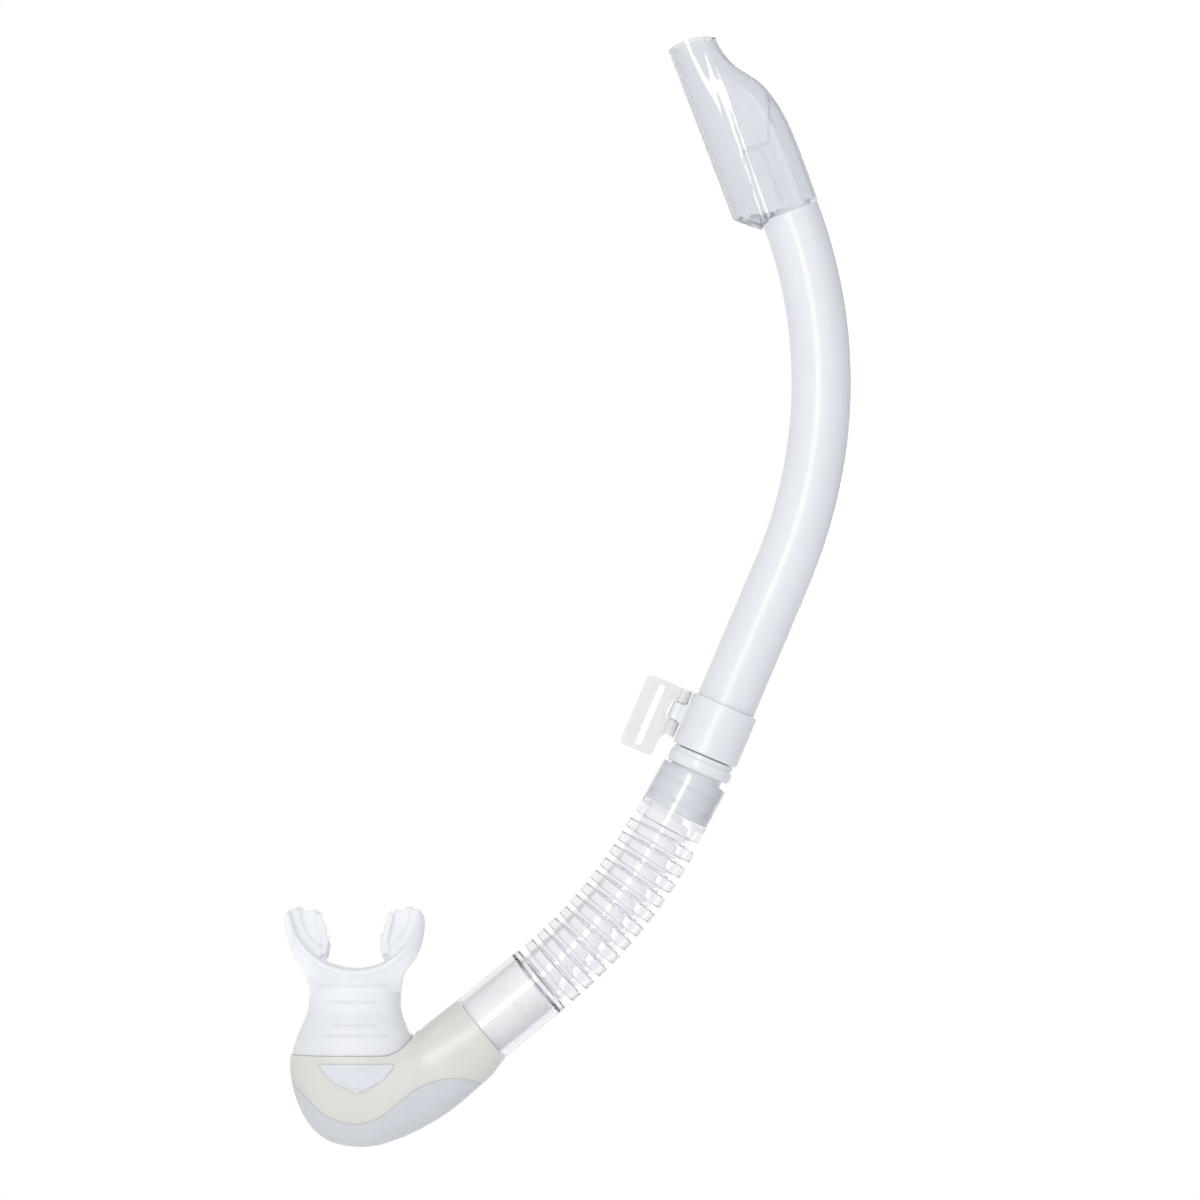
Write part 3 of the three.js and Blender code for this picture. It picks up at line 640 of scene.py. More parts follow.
def ease_edges(piece, width, segments=2):
    """Breaks every sharp edge with a small round."""
    step = piece.modifiers.new("ease", "BEVEL")
    step.width = width * MM
    step.segments = segments
    step.limit_method = "ANGLE"
    step.angle_limit = EASE_ANGLE
    step.use_clamp_overlap = True
    return settle(piece)


def melt(piece, voxel, passes):
    """Turns joined solids into one soft moulding: an even skin, smoothed until its joins are fillets."""
    skin = piece.modifiers.new("skin", "REMESH")
    skin.mode = "VOXEL"
    skin.voxel_size = voxel * MM
    ease = piece.modifiers.new("ease", "SMOOTH")
    ease.factor = 0.5
    ease.iterations = passes
    return settle(piece)


def dress(piece, body, material, slot, *nodes, crease=35):
    """Smooth shading, finish, and the body and frame parts that the piece goes with."""
    piece.data.shade_smooth()
    if crease:
        piece.data.set_sharp_from_angle(angle=math.radians(crease))
        even = piece.modifiers.new("even", "WEIGHTED_NORMAL")
        even.weight = 100
        even.keep_sharp = True
        settle(piece)
    piece.data.materials.clear()
    piece.data.materials.append(material)
    if body:
        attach(piece, body)
    if nodes:
        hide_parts(*nodes)
    print(f"{piece.name}: {len(piece.data.polygons)} faces")
    return piece


# %% [markdown]
# ## Turning, and bending what was turned
#
# The barrel and the hose are both round tubes whose wall follows a profile and whose centre line is
# straight and then an arc. They could be swept along a path, but then the wall's own profile, such as
# the ribs, would have to be added afterwards. A Geometry Nodes tree does it the other way round: it
# turns the wall's profile about a straight axis and then bends the result. The same tree with no bend
# is the lathe for every other round part.

# %% The turning tree
HUB_R = 1.0


def link_maths(tree, operation, first, second=None):
    node = add_node(tree, "ShaderNodeMath")
    node.operation = operation
    for socket, value in zip(node.inputs, (first, second)):
        if isinstance(value, (int, float)):
            socket.default_value = value
        elif value is not None:
            tree.links.new(value, socket)
    return node.outputs["Value"]


def turning_tree():
    tree, enter, leave = new_group(
        "turn_and_bend",
        "GeometryNodeTree",
        [
            ("Profile", "Object", None), ("Sides", "Int", 96), ("Heading", "Float", 1.0),
            ("Bend From", "Float", 10.0), ("Bend Radius", "Float", 1.0), ("Material", "Material", None),
        ],
        [("Geometry", "Geometry", None)],
    )
    profile = add_node(tree, "GeometryNodeObjectInfo")
    hub = add_node(tree, "GeometryNodeCurvePrimitiveCircle", Radius=HUB_R * MM)
    wall = add_node(tree, "GeometryNodeCurveToMesh")
    split = add_node(tree, "ShaderNodeSeparateXYZ")
    link(
        tree,
        (enter, "Profile", profile, "Object"),
        (enter, "Sides", hub, "Resolution"),
        (hub, "Curve", wall, "Curve"),
        (profile, "Geometry", wall, "Profile Curve"),
        (add_node(tree, "GeometryNodeInputPosition"), "Position", split, "Vector"),
    )
    heading, bend_from = enter.outputs["Heading"], enter.outputs["Bend From"]
    bend_radius = enter.outputs["Bend Radius"]
    height = link_maths(tree, "MULTIPLY", split.outputs["Z"], heading)
    beyond = link_maths(tree, "MAXIMUM", link_maths(tree, "SUBTRACT", height, bend_from), 0)
    straight = link_maths(tree, "MINIMUM", height, bend_from)
    angle = link_maths(tree, "DIVIDE", beyond, bend_radius)
    arm = link_maths(tree, "ADD", split.outputs["X"], bend_radius)
    across = link_maths(tree, "MULTIPLY", arm, link_maths(tree, "COSINE", angle))
    across = link_maths(tree, "SUBTRACT", across, bend_radius)
    along = link_maths(tree, "MULTIPLY", arm, link_maths(tree, "SINE", angle))
    along = link_maths(tree, "ADD", along, straight)
    along = link_maths(tree, "MULTIPLY", along, heading)
    bent = add_node(tree, "ShaderNodeCombineXYZ")
    tree.links.new(across, bent.inputs["X"])
    tree.links.new(along, bent.inputs["Z"])
    place = add_node(tree, "GeometryNodeSetPosition")
    coat = add_node(tree, "GeometryNodeSetMaterial")
    link(
        tree,
        (split, "Y", bent, "Y"),
        (wall, "Mesh", place, "Geometry"),
        (bent, "Vector", place, "Position"),
        (place, "Geometry", coat, "Geometry"),
        (enter, "Material", coat, "Material"),
        (coat, "Geometry", leave, "Geometry"),
    )
    return tree


TURNING = turning_tree()
SOCKETS = {item.name: item.identifier for item in TURNING.interface.items_tree}
print("turning tree:", len(TURNING.nodes), "nodes")

# %% Using the tree
def profile_curve(lines, closed):
    """The wall's profile as a curve: radius and height, in metres, measured from the hub."""
    curve = bpy.data.curves.new("profile", "CURVE")
    curve.dimensions = "3D"
    for line in lines:
        spline = curve.splines.new("POLY")
        spline.points.add(len(line) - 1)
        spline.use_cyclic_u = closed
        for point, (radius, height) in zip(spline.points, line):
            point.co = ((radius - HUB_R) * MM, -height * MM, 0, 1)
    profile = bpy.data.objects.new("profile", curve)
    bpy.context.scene.collection.objects.link(profile)
    return profile


def outward(outline):
    """The outline ordered so that the turned wall faces out."""
    area = sum(a[0] * b[1] - b[0] * a[1] for a, b in zip(outline, outline[1:] + outline[:1]))
    return outline if area < 0 else outline[::-1]


def turned(name, lines, place, material, closed=True, **inputs):
    """A round part: its profile lines turned about +Z of its frame, and bent if the inputs say so."""
    profile = profile_curve([outward(line) for line in lines] if closed else lines, closed)
    host = bpy.data.objects.new(name, bpy.data.meshes.new(name))
    bpy.context.scene.collection.objects.link(host)
    tree = host.modifiers.new("turn", "NODES")
    tree.node_group = TURNING
    tree[SOCKETS["Profile"]] = profile
    tree[SOCKETS["Material"]] = material
    for title, value in inputs.items():
        tree[SOCKETS[title.replace("_", " ")]] = value
    settle(host)
    bpy.data.objects.remove(profile)
    host.data.transform(Matrix.Scale(MM, 4) @ place @ Matrix.Scale(1 / MM, 4))
    return host


def rod(name, radius, low, high, place, sides=64):
    """A plain round bar, used only to cut or join."""
    return loft(name, [level_circle(sides, radius, z) for z in (low, high)], place)


# %% [markdown]
# ## Barrel
#
# The barrel is one injection-blown tube: a straight stretch that the keeper slides on, then a long arc
# that brings its open end up over the swimmer's head. Its profile is a long thin rectangle with rounded
# lips, divided every couple of millimetres so that the bend stays smooth.

# %% Barrel
TUBE_R = 11.75
TUBE_WALL = 1.75
BARREL_LENGTH = STRAIGHT_UP + BEND_R * bend


def barrel():
    wall = rounded(
        [
            (TUBE_R - TUBE_WALL, BARREL_LENGTH), (TUBE_R, BARREL_LENGTH), (TUBE_R, BARREL_FOOT),
            (TUBE_R - TUBE_WALL, BARREL_FOOT),
        ],
        radius=0.6,
    )
    piece = turned(
        "barrel_tube", [with_steps(wall, 2.2)], tube_frame, WHITE_PLASTIC, Sides=128,
        Bend_From=STRAIGHT_UP * MM, Bend_Radius=BEND_R * MM,
    )
    dress(piece, "barrel", WHITE_PLASTIC, "white_plastic", "barrel", crease=60)


barrel()

# %% [markdown]
# ## Connector and cuffs
#
# A white connector plugs into the barrel's foot. Its spigot has two barbs that hold the hose's upper
# cuff. The cuff is stretched over them and touches the spigot all round, with no air between, so the
# clear wall acts as a lens that spreads the white core to the cuff's full width. At the other end the
# lower cuff slips over a warm white sleeve that the chamber swivels on. All of them are turned from
# rounded profiles.

# %% Connector
SPIGOT_BORE_R = 8.6
SHOULDER_R = 12.9
BARB_R = 10.9
CORE_R = 10.3
SPIGOT_FOOT = -19


def hose_connector():
    top = SHOULDER_HEIGHT
    plug = TUBE_R - TUBE_WALL - 0.3
    shoulder = rounded([
        (SPIGOT_BORE_R, -1), (12.4, -1, 0.3), (SHOULDER_R, 0.3, 0.5), (SHOULDER_R, 3.4, 0.5),
        (12.3, 3.9, 0.2), (12.3, top - 0.3, 0.2), (plug, top - 0.3), (plug, top + 9, 0.6),
        (SPIGOT_BORE_R, top + 9, 0.3),
    ])
    barbs = [(BARB_R, -7, 0.2), (CORE_R, -8.8, 0.3), (BARB_R, -14, 0.2), (CORE_R, -15.8, 0.3)]
    foot = [(CORE_R, SPIGOT_FOOT, 0.5), (SPIGOT_BORE_R, SPIGOT_FOOT, 0.3)]
    spigot = rounded([(SPIGOT_BORE_R, 0), (CORE_R, 0), *barbs, *foot])
    up_the_tube = spigot_frame @ Matrix.Rotation(math.radians(-SPIGOT_BEND), 4, "Y")
    piece = turned("connector", [shoulder], up_the_tube, WHITE_PLASTIC)
    join(piece, turned("spigot", [spigot], spigot_frame, WHITE_PLASTIC))
    dress(piece, "barrel", WHITE_PLASTIC, "white_plastic", "hose_connector")


hose_connector()

# %% Upper cuff
HOSE_BORE_R = 9.5
HOSE_SLEEVE_R = 10.75
UPPER_CUFF_R = 13.65
CUFF_TOP = -2.6
GRIP_R = 10.2


def hose_upper_cuff():
    foot = -UPPER_CUFF_LENGTH
    outside = rounded([
        (GRIP_R, foot + 6.6, 0.2), (GRIP_R, CUFF_TOP), (UPPER_CUFF_R - 0.2, CUFF_TOP, 0.6),
        (UPPER_CUFF_R, CUFF_TOP - 3), (UPPER_CUFF_R, foot, 1.0), (HOSE_SLEEVE_R, foot, 0.5),
        (HOSE_SLEEVE_R, foot - 0.6), (HOSE_BORE_R, foot - 0.6), (HOSE_BORE_R, foot + 4, 0.4),
    ])
    lip = [i for i, p in enumerate(outside) if p[1] == foot - 0.6]
    wall = outside[lip[1] :] + outside[: lip[0] + 1]
    piece = turned("hose_upper_cuff_clear", [wall], spigot_frame, CLEAR_SILICONE, closed=False)
    dress(piece, "barrel", CLEAR_SILICONE, "clear_silicone", "hose_upper_cuff")


hose_upper_cuff()

# %% [markdown]
# ## Ribbed hose
#
# The hose is one clear silicone moulding: a thin bore with eleven square ribs, each with softly rounded
# corners. It bends in the grooves. It is made as twelve stretches, each running from the middle of one
# rib to the middle of the next. The tree turns one stretch's profile, drawn at its own place down the
# hose, and bends it to the hose's arc. The stretches meet edge to edge with nothing between them, so
# light runs on through the wall as it does in one piece.

# %% Hose stretches
RIB_R = 14.5
RIB_HALF = 2.1
RIB_ROUND = 0.75
GROOVE_ROUND = 0.45


def half_rib(middle, way):
    """The outer line from a rib's middle to its groove; way is 1 down the hose and -1 up it."""
    side = middle + way * RIB_HALF
    return [(RIB_R, middle), (RIB_R, side, RIB_ROUND), (HOSE_SLEEVE_R, side, GROOVE_ROUND)]


def open_line(corners):
    """A rounded line with free ends, as radius and height below the upper cuff."""
    line = rounded([*corners, (0, corners[-1][1]), (0, corners[0][1])])
    return [(p[0], -p[1]) for p in line[:-2]]


def hose_stretch(index):
    upper = FIRST_RIB + (index - 1) * RIB_PITCH
    lower = upper + RIB_PITCH
    if index == 0:
        upper, outside = 0.6, [(HOSE_SLEEVE_R, 0.6), *reversed(half_rib(lower, -1))]
    elif index == RIB_COUNT:
        lower, outside = HOSE_STRETCH - 0.6, [*half_rib(upper, 1), (HOSE_SLEEVE_R, HOSE_STRETCH - 0.6)]
    else:
        outside = [*half_rib(upper, 1), *reversed(half_rib(lower, -1))]
    bore_steps = 4
    bore = [(HOSE_BORE_R, -(lower + (upper - lower) * k / bore_steps)) for k in range(bore_steps + 1)]
    piece = turned(
        f"hose_stretch_{index + 1:02d}", [open_line(outside), bore],
        frame_at(spigot_frame, 0, -UPPER_CUFF_LENGTH, 0), CLEAR_SILICONE, closed=False, Heading=-1.0,
        Bend_From=0.0, Bend_Radius=HOSE_ARC_R * MM,
    )
    rings = [f"hose_ring_{index:02d}"] if index else []
    dress(piece, None, CLEAR_SILICONE, "clear_silicone", *rings, crease=50)
    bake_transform(piece)


for stretch in range(RIB_COUNT + 1):
    hose_stretch(stretch)

# %% Lower cuff
LOWER_CUFF_R = 14.55
CUFF_BORE_R = 11.75


def hose_lower_cuff():
    foot = 0.3 - LOWER_CUFF_LENGTH
    loop = rounded([
        (HOSE_SLEEVE_R, 0.6), (HOSE_SLEEVE_R, 0, 0.5), (LOWER_CUFF_R, 0, 1.2),
        (LOWER_CUFF_R, foot, 0.4), (CUFF_BORE_R, foot, 0.3), (CUFF_BORE_R, -3.4, 0.3),
        (HOSE_BORE_R, -2.4, 0.3), (HOSE_BORE_R, 0.6),
    ])
    piece = turned("hose_lower_cuff_clear", [loop], lower_cuff_frame, CLEAR_SILICONE, closed=False)
    dress(piece, "lower_cuff", CLEAR_SILICONE, "clear_silicone", "hose_lower_cuff")


hose_lower_cuff()

# %% Swivel sleeve and its seal
SLEEVE_R = 11.45
SLEEVE_BORE_R = 9.6
SOCKET_DEPTH = 12
SEAL_R = 11.05
SEAL_SECTION = 0.5
LINE_DEPTH = 0.22


def swivel_sleeve():
    top = LOWER_CUFF_LENGTH - 4
    foot = 0.3 - SOCKET_DEPTH
    seat = -SOCKET_DEPTH / 2
    lines = []
    for z in (16.2, 17.4):
        lines += [(SLEEVE_R, z - 0.3, 0.1), (SLEEVE_R - LINE_DEPTH, z, 0.1), (SLEEVE_R, z + 0.3, 0.1)]
    outline = rounded([
        (SLEEVE_BORE_R, foot, 0.3), (SLEEVE_R, foot, 0.4), (SLEEVE_R, seat - 0.75, 0.1),
        (SLEEVE_R - 1.1, seat - 0.75, 0.1), (SLEEVE_R - 1.1, seat + 0.75, 0.1),
        (SLEEVE_R, seat + 0.75, 0.1), *lines, (SLEEVE_R, top, 0.5), (SLEEVE_BORE_R, top, 0.5),
    ])
    piece = turned("swivel_sleeve_white", [outline], chamber_frame, SLEEVE_PLASTIC)
    dress(piece, "lower_cuff", SLEEVE_PLASTIC, "sleeve_plastic", "swivel_sleeve")
    section = circle(16, SEAL_SECTION, SEAL_SECTION, SEAL_R, seat)
    seal = turned("swivel_seal", [section], chamber_frame, SEAL_RUBBER)
    dress(seal, "lower_cuff", SEAL_RUBBER, "seal_rubber", "swivel_o_ring", crease=0)


swivel_sleeve()

# %% [markdown]
# ## Keeper
#
# The keeper holds the snorkel on a mask strap. Its collar grips the barrel and can be turned on it, and
# a clip hangs on the collar's lug by a pin, with a slim slot that the strap passes through. The collar
# is turned and its lug is cut from a rounded outline. The clip is a flat outline with a real thickness,
# and every edge is eased afterwards, because a strap would chafe on a sharp one.

# %% Collar
COLLAR_R = 13.3
COLLAR_TOP = 14.8
COLLAR_FOOT = -6
COLLAR_BORE_R = 12.05
PIN_TO_TUBE = 16.5
PIN_R = 1.5
KNUCKLE_R = 2.7
LUG_TOP = 8.7
LUG_FOOT = 1.8
HINGE_TOP = 14.6
HINGE_FOOT = -4.6


def keeper_collar():
    outline = rounded(
        [
            (COLLAR_BORE_R, COLLAR_FOOT, 0.3), (COLLAR_R, COLLAR_FOOT, 1.3),
            (COLLAR_R, COLLAR_TOP, 0.7), (COLLAR_BORE_R, COLLAR_TOP, 0.3),
        ],
        steps=6,
    )
    piece = turned("collar", [outline], tube_frame, WHITE_PLASTIC)
    half = KNUCKLE_R - 0.3
    flare = 3.4
    root = -COLLAR_BORE_R - 0.4
    side = rounded([
        (root, LUG_FOOT - flare), (root, LUG_TOP + flare), (root - 1.6, LUG_TOP + 0.6, 1.2),
        (root - 2.2, LUG_TOP, 0.6), (-PIN_TO_TUBE, LUG_TOP, 0.2), (-PIN_TO_TUBE, LUG_FOOT, 0.2),
        (root - 2.2, LUG_FOOT, 0.6), (root - 1.6, LUG_FOOT - 0.6, 1.2),
    ])
    lug = slab("lug", side, -half, half, tube_frame)
    pin_spot = frame_at(tube_frame, -PIN_TO_TUBE, 0, 0)
    join(lug, rod("nose", KNUCKLE_R, LUG_FOOT, LUG_TOP, pin_spot))
    cut(lug, rod("pin_hole", PIN_R + 0.2, LUG_FOOT - 1, LUG_TOP + 1, pin_spot))
    ease_edges(lug, 0.35)
    join(piece, lug)
    dress(piece, "keeper_collar", WHITE_PLASTIC, "white_plastic", "keeper_collar")


keeper_collar()

# %% Clip and pin
CLIP_THICK = 4
CLIP_HALF_WIDTH = 6.7
CLIP_HALF_HEIGHT = 14.6
SLOT_HALF_WIDTH = 1.4
SLOT_HALF_LENGTH = 12.75


def keeper_clip():
    pin_x = SLOT_TO_TUBE - PIN_TO_TUBE
    plate = rounded(
        [
            (-CLIP_HALF_WIDTH, -CLIP_HALF_HEIGHT, 2.6), (CLIP_HALF_WIDTH, -CLIP_HALF_HEIGHT, 2.2),
            (CLIP_HALF_WIDTH, HINGE_FOOT - 3.2, 2.4), (CLIP_HALF_WIDTH + 1.4, HINGE_FOOT, 1.6),
            (pin_x, HINGE_FOOT), (pin_x, HINGE_TOP), (-CLIP_HALF_WIDTH, CLIP_HALF_HEIGHT, 2.6),
        ],
        steps=6,
    )
    slot = rounded(
        [
            (-SLOT_HALF_WIDTH, -SLOT_HALF_LENGTH), (SLOT_HALF_WIDTH, -SLOT_HALF_LENGTH),
            (SLOT_HALF_WIDTH, SLOT_HALF_LENGTH), (-SLOT_HALF_WIDTH, SLOT_HALF_LENGTH),
        ],
        radius=1.3,
        steps=6,
    )
    lug_room = rounded([
        (pin_x - 3.5, LUG_FOOT - 0.3, 0.8), (pin_x + 3.5, LUG_FOOT - 0.3),
        (pin_x + 3.5, LUG_TOP + 0.3), (pin_x - 3.5, LUG_TOP + 0.3, 0.8),
    ])
    half = CLIP_THICK / 2
    clip = slab("keeper_clip_milky", plate, -half, half, keeper_frame)
    cut(clip, slab("slot", slot, -3 * half, 3 * half, keeper_frame))
    pin_spot = frame_at(keeper_frame, pin_x, 0, 0)
    join(clip, rod("knuckles", KNUCKLE_R, HINGE_FOOT, HINGE_TOP, pin_spot))
    cut(clip, slab("lug_room", lug_room, -4 * half, 4 * half, keeper_frame))
    cut(clip, rod("pin_hole", PIN_R + 0.2, HINGE_FOOT - 1, HINGE_TOP + 1, pin_spot))
    ease_edges(clip, 0.45, segments=3)
    dress(clip, "keeper_clip", MILKY_PLASTIC, "milky_plastic", "keeper_clip")
    low, high = HINGE_FOOT + 0.2, HINGE_TOP - 0.2
    ends = rounded([(0, low), (PIN_R, low, 0.4), (PIN_R, high, 0.4), (0, high)])
    pin = loft("keeper_pin_white", [level_circle(48, r, z) for r, z in ends if r > 0], pin_spot)
    dress(pin, "keeper_clip", WHITE_PLASTIC, "white_plastic", "keeper_pin")


keeper_clip()

# %% [markdown]
# ## Splash guard
#
# The guard is a clear moulding on the barrel's open end: the airway runs up its far side and a scoop on
# the near side throws spray back out. It is lofted level by level as an outer and an inner body, and the
# inner one is taken out of the outer, so the wall has the real 1.6 mm and refracts at both its faces.
# The flat side panel starts at a raised line, which catches the light all the way up.

# %% Guard levels
GUARD_WALL = 1.6
SCOOP_EDGE = -21.9
GUARD_TOP = 72
LOWEST_LEVEL = 9.0
GUARD_COLUMNS = 144
RIDGE_FOOT_X = -11.8
RIDGE_TOP_X = -8.4
FAR_EDGE = smooth_path(
    [(12.2, 0), (12.4, 16), (12.3, 29), (11, 40.5), (7.6, 51), (1.2, 60), (-1.7, 67), (-2.6, GUARD_TOP)]
)


def far_edge(height):
    for (x0, z0), (x1, z1) in zip(FAR_EDGE, FAR_EDGE[1:]):
        if z0 <= height <= z1:
            return x0 + (x1 - x0) * (height - z0) / (z1 - z0)
    return FAR_EDGE[-1][0]


def rim_height(x):
    return 51.5 + math.sqrt(24.8**2 - (x + 15) ** 2)


def foot_height(x):
    return -2.7 - (x + 12.2) * 0.81 if x < -12.2 else 0.3


def ease(value):
    value = min(max(value, 0), 1)
    return value * value * (3 - 2 * value)


def oval(centre_x, half_length, half_depth, squareness, columns, tilt=lambda x: 0):
    """A flat ring of points; squareness 2 is an ellipse, and tilt gives the height at x."""
    power = 2 / squareness
    ring = []
    for i in range(columns):
        c = math.cos(2 * math.pi * i / columns)
        s = math.sin(2 * math.pi * i / columns)
        x = centre_x + math.copysign(abs(c) ** power, c) * half_length
        ring.append((x, math.copysign(abs(s) ** power, s) * half_depth, tilt(x)))
    return ring


def guard_level(height, inset, tilt=None):
    far = far_edge(height)
    share = height / GUARD_TOP
    half_depth = 12.2 - 1.8 * share - inset
    half_length = (far - SCOOP_EDGE) / 2 - inset
    centre = (far + SCOOP_EDGE) / 2
    ring = oval(centre, half_length, half_depth, 2.5, GUARD_COLUMNS, tilt or (lambda x: height))
    if inset:
        return ring
    ridge = RIDGE_FOOT_X + (RIDGE_TOP_X - RIDGE_FOOT_X) * share
    panel_end = far - 5.5
    shaped = []
    for x, y, z in ring:
        bead = 0.3 * math.exp(-(((x - ridge) / 0.8) ** 2))
        dip = 0.45 * ease((x - ridge - 0.5) / 1.2) * ease((panel_end - x) / 1.6)
        change = (bead - dip) * min(1, abs(y) / 4)
        shaped.append((x, y + math.copysign(change, y), z))
    return shaped


def part_way(foot, share):
    """The tilt a share of the way from the slanted foot to the lowest level ring."""
    return lambda x: foot(x) + (LOWEST_LEVEL - foot(x)) * share


def guard_body(name, inset, foot, rim):
    rings = [guard_level(0.3, inset, foot)]
    for share in (0.3, 0.65):
        rings.append(guard_level(LOWEST_LEVEL * share, inset, part_way(foot, share)))
    steps = 36
    for i in range(steps):
        rise = (GUARD_TOP - 1.5 - LOWEST_LEVEL) * i / (steps - 1)
        rings.append(guard_level(LOWEST_LEVEL + rise, inset))
    rings.append(guard_level(GUARD_TOP, inset, rim))
    return loft(name, rings, guard_frame)


# %% Guard
def splash_guard():
    piece = guard_body("splash_guard_clear", 0, foot_height, rim_height)
    room = guard_body(
        "room", GUARD_WALL, lambda x: foot_height(x) + GUARD_WALL, lambda x: rim_height(x) + 2
    )
    cut(piece, room)
    spigot_r = TUBE_R - TUBE_WALL - 0.6
    join(piece, rod("spigot", spigot_r, -10, 0.3 + GUARD_WALL, guard_frame, sides=96))
    cut(piece, rod("bore", spigot_r - 1.3, -11, 0.3 + 2 * GUARD_WALL, guard_frame, sides=96))
    drain = rounded([(-17.8, -6), (-15.2, -6), (-15.2, 6), (-17.8, 6)], radius=1.2)
    cut(piece, loft("drain", [[(x, y, z) for x, y in drain] for z in (-6, 6)], guard_frame))
    dress(piece, "barrel", CLEAR_GUARD, "clear_plastic", "splash_guard", crease=40)


splash_guard()

# %% Deflector inside the guard
def guard_deflector():
    line = [(-2.4, 4), (-2.8, 27.6, 0.3), (-7.7, 27.6, 0.3)]
    line += [(-7.7, 28.8, 0.3), (1.2, 28.8, 0.8), (8.2, 47.6, 0.4)]
    back = [(9.4, 47, 0.3), (2, 27.6, 0.8), (-1.6, 27.6, 0.3), (-1.2, 4)]
    piece = slab("guard_deflector_clear", rounded(line + back), -20, 20, guard_frame)
    room = guard_body("room", GUARD_WALL + 0.3, lambda x: 3, lambda x: rim_height(x) - 1.2)
    keep(piece, room)
    dress(piece, "barrel", CLEAR_GUARD, "clear_plastic", "guard_deflector")


guard_deflector()

# %% [markdown]
# ## Purge chamber
#
# The chamber bends the airway round from the hose up into the mouth, and its low point is where water
# collects to be blown out. Its body is lofted through sections across the bend, drawn from the inner
# edge to the outer edge of the curve. The ivory housing, the milky bottom cover and the small badge are
# all cut from this one body at different depths, so their outer faces run on smoothly into each other.

# %% Chamber sections
CHAMBER_COLUMNS = 112
STATIONS = [
    (-74.9, -111.2, -56.4, -133.6, 14.5), (-78.6, -114, -61.5, -140.4, 14.6),
    (-82.3, -116.9, -68.5, -146.8, 14.9), (-86.1, -119.9, -76.5, -153.5, 15.4),
    (-89.3, -122.7, -85.5, -159.4, 16), (-90.2, -123.2, -97, -165, 16.8),
    (-90.9, -123.1, -110, -168.5, 17.4), (-91.3, -122.9, -124, -166.7, 17.6),
    (-91.6, -122.6, -133, -159.5, 17.6), (-91.8, -122.3, -138.5, -148, 17.5),
    (-91.9, -121.9, -140.4, -136, 17.2), (-92.1, -121.4, -138.8, -127.5, 16),
]
SECTIONS = smooth_path(STATIONS, per_span=7)


def chamber_body(name, inset):
    """The outer body shrunk all round by inset. A section is inner x and z, outer x and z, depth."""
    rings = []
    for i, (inner_x, inner_z, outer_x, outer_z, depth) in enumerate(SECTIONS):
        squareness = 2 + 0.3 * min(1, 2.5 * i / (len(SECTIONS) - 1))
        inner, outer = Vector((inner_x, 0, inner_z)), Vector((outer_x, 0, outer_z))
        along = (outer - inner).normalized()
        half = (outer - inner).length / 2 - inset
        middle = (inner + outer) / 2
        flat = oval(0, half, depth - inset, squareness, CHAMBER_COLUMNS)
        rings.append([middle + along * x + Vector((0, y, 0)) for x, y, _ in flat])
    return loft(name, rings)


# %% Where the chamber's pieces meet
MOUTH_X = -114.9
BELOW_ALL = -190
SEAM = [(-104, -132.4), (-97.6, -132.4), (-91.2, -124), (-70, -96.3)]
COVER_EDGE = [
    (-148, -136), (-138.5, -143.7), (-128.7, -153.6), (-121, -157.6), (-113, -158.8), (-105, -156),
    (-97.5, -150.3), (-89.7, -144.4), (-82, -141.6), (-74, -141.2), (-66, -143.4), (-58, -148),
]


def below_skirt(drop):
    """Everything under the line where the mouthpiece's skirt ends, seen from the front."""
    start, control, end, far = (Vector((x, z - drop)) for x, z in SEAM)
    shares = [k / 12 for k in range(13)]
    turn = [start * (1 - t) ** 2 + control * 2 * t * (1 - t) + end * t * t for t in shares]
    outline = [(-150, start.y), *turn, far, (-20, far.y), (-20, BELOW_ALL), (-150, BELOW_ALL)]
    return slab("below_skirt", outline, -CUT_REACH, CUT_REACH)


def cover_region(rise):
    """Everything under the bottom cover's upper edge, raised by rise."""
    edge = [(x, z + rise) for x, z in smooth_path(COVER_EDGE, per_span=6)]
    corners = [(COVER_EDGE[-1][0], BELOW_ALL), (COVER_EDGE[0][0], BELOW_ALL)]
    return slab("cover_region", [*edge, *corners], -CUT_REACH, CUT_REACH)


def badge_block(margin):
    """The badge's rounded shield outline as a block through the front wall, grown by margin."""
    side = [(-14.6, 5.6), (-13.2, 3.0), (-8.5, -1.6), (0, -5.9)]
    left = smooth_path(side, per_span=8)
    right = [(-x, z) for x, z in reversed(left[:-1])]
    grow = 1 + margin / 8
    outline = [(MOUTH_X + 1 + x * grow, -141 + z * grow) for x, z in [*left, *right]]
    return slab("badge_block", outline, -35, -5)


print("chamber:", len(SECTIONS), "sections of", CHAMBER_COLUMNS, "points")

# %% [markdown]
# ## Neck of the mouthpiece
#
# The silicone mouthpiece grips a short oval spigot on the housing. One set of levels, narrow in the
# middle and wide at the skirt, gives both the spigot and the rubber round it their shapes.

# %% Neck levels
SKIRT_WALL = 3
NECK_LEVELS = smooth_path(
    [
        (-100.5, 19.4, 12.6), (-105, 18.3, 11.7), (-110, 17.9, 11.5), (-115.8, 18.6, 12.4),
        (-121, 20.7, 14.4), (-127, 23.2, 16.3), (-134, 25.2, 17.4),
    ],
    per_span=5,
)


def neck(name, inset, highest=-100, lowest=-140):
    levels = [level for level in NECK_LEVELS if lowest <= level[0] <= highest]
    rings = [
        oval(MOUTH_X, half_width - inset, half_depth - inset, 2.3, 96, lambda x, z=height: z)
        for height, half_width, half_depth in levels
    ]
    return loft(name, rings)


# %% Housing
CHAMBER_WALL = 4
COVER_THICK = 1.8
FLOOR_TOP = -156
FLOOR_THICK = 2.5
VALVE_R = 11.5
valve_frame = frame_at(WORLD, MOUTH_X, 0, 0)


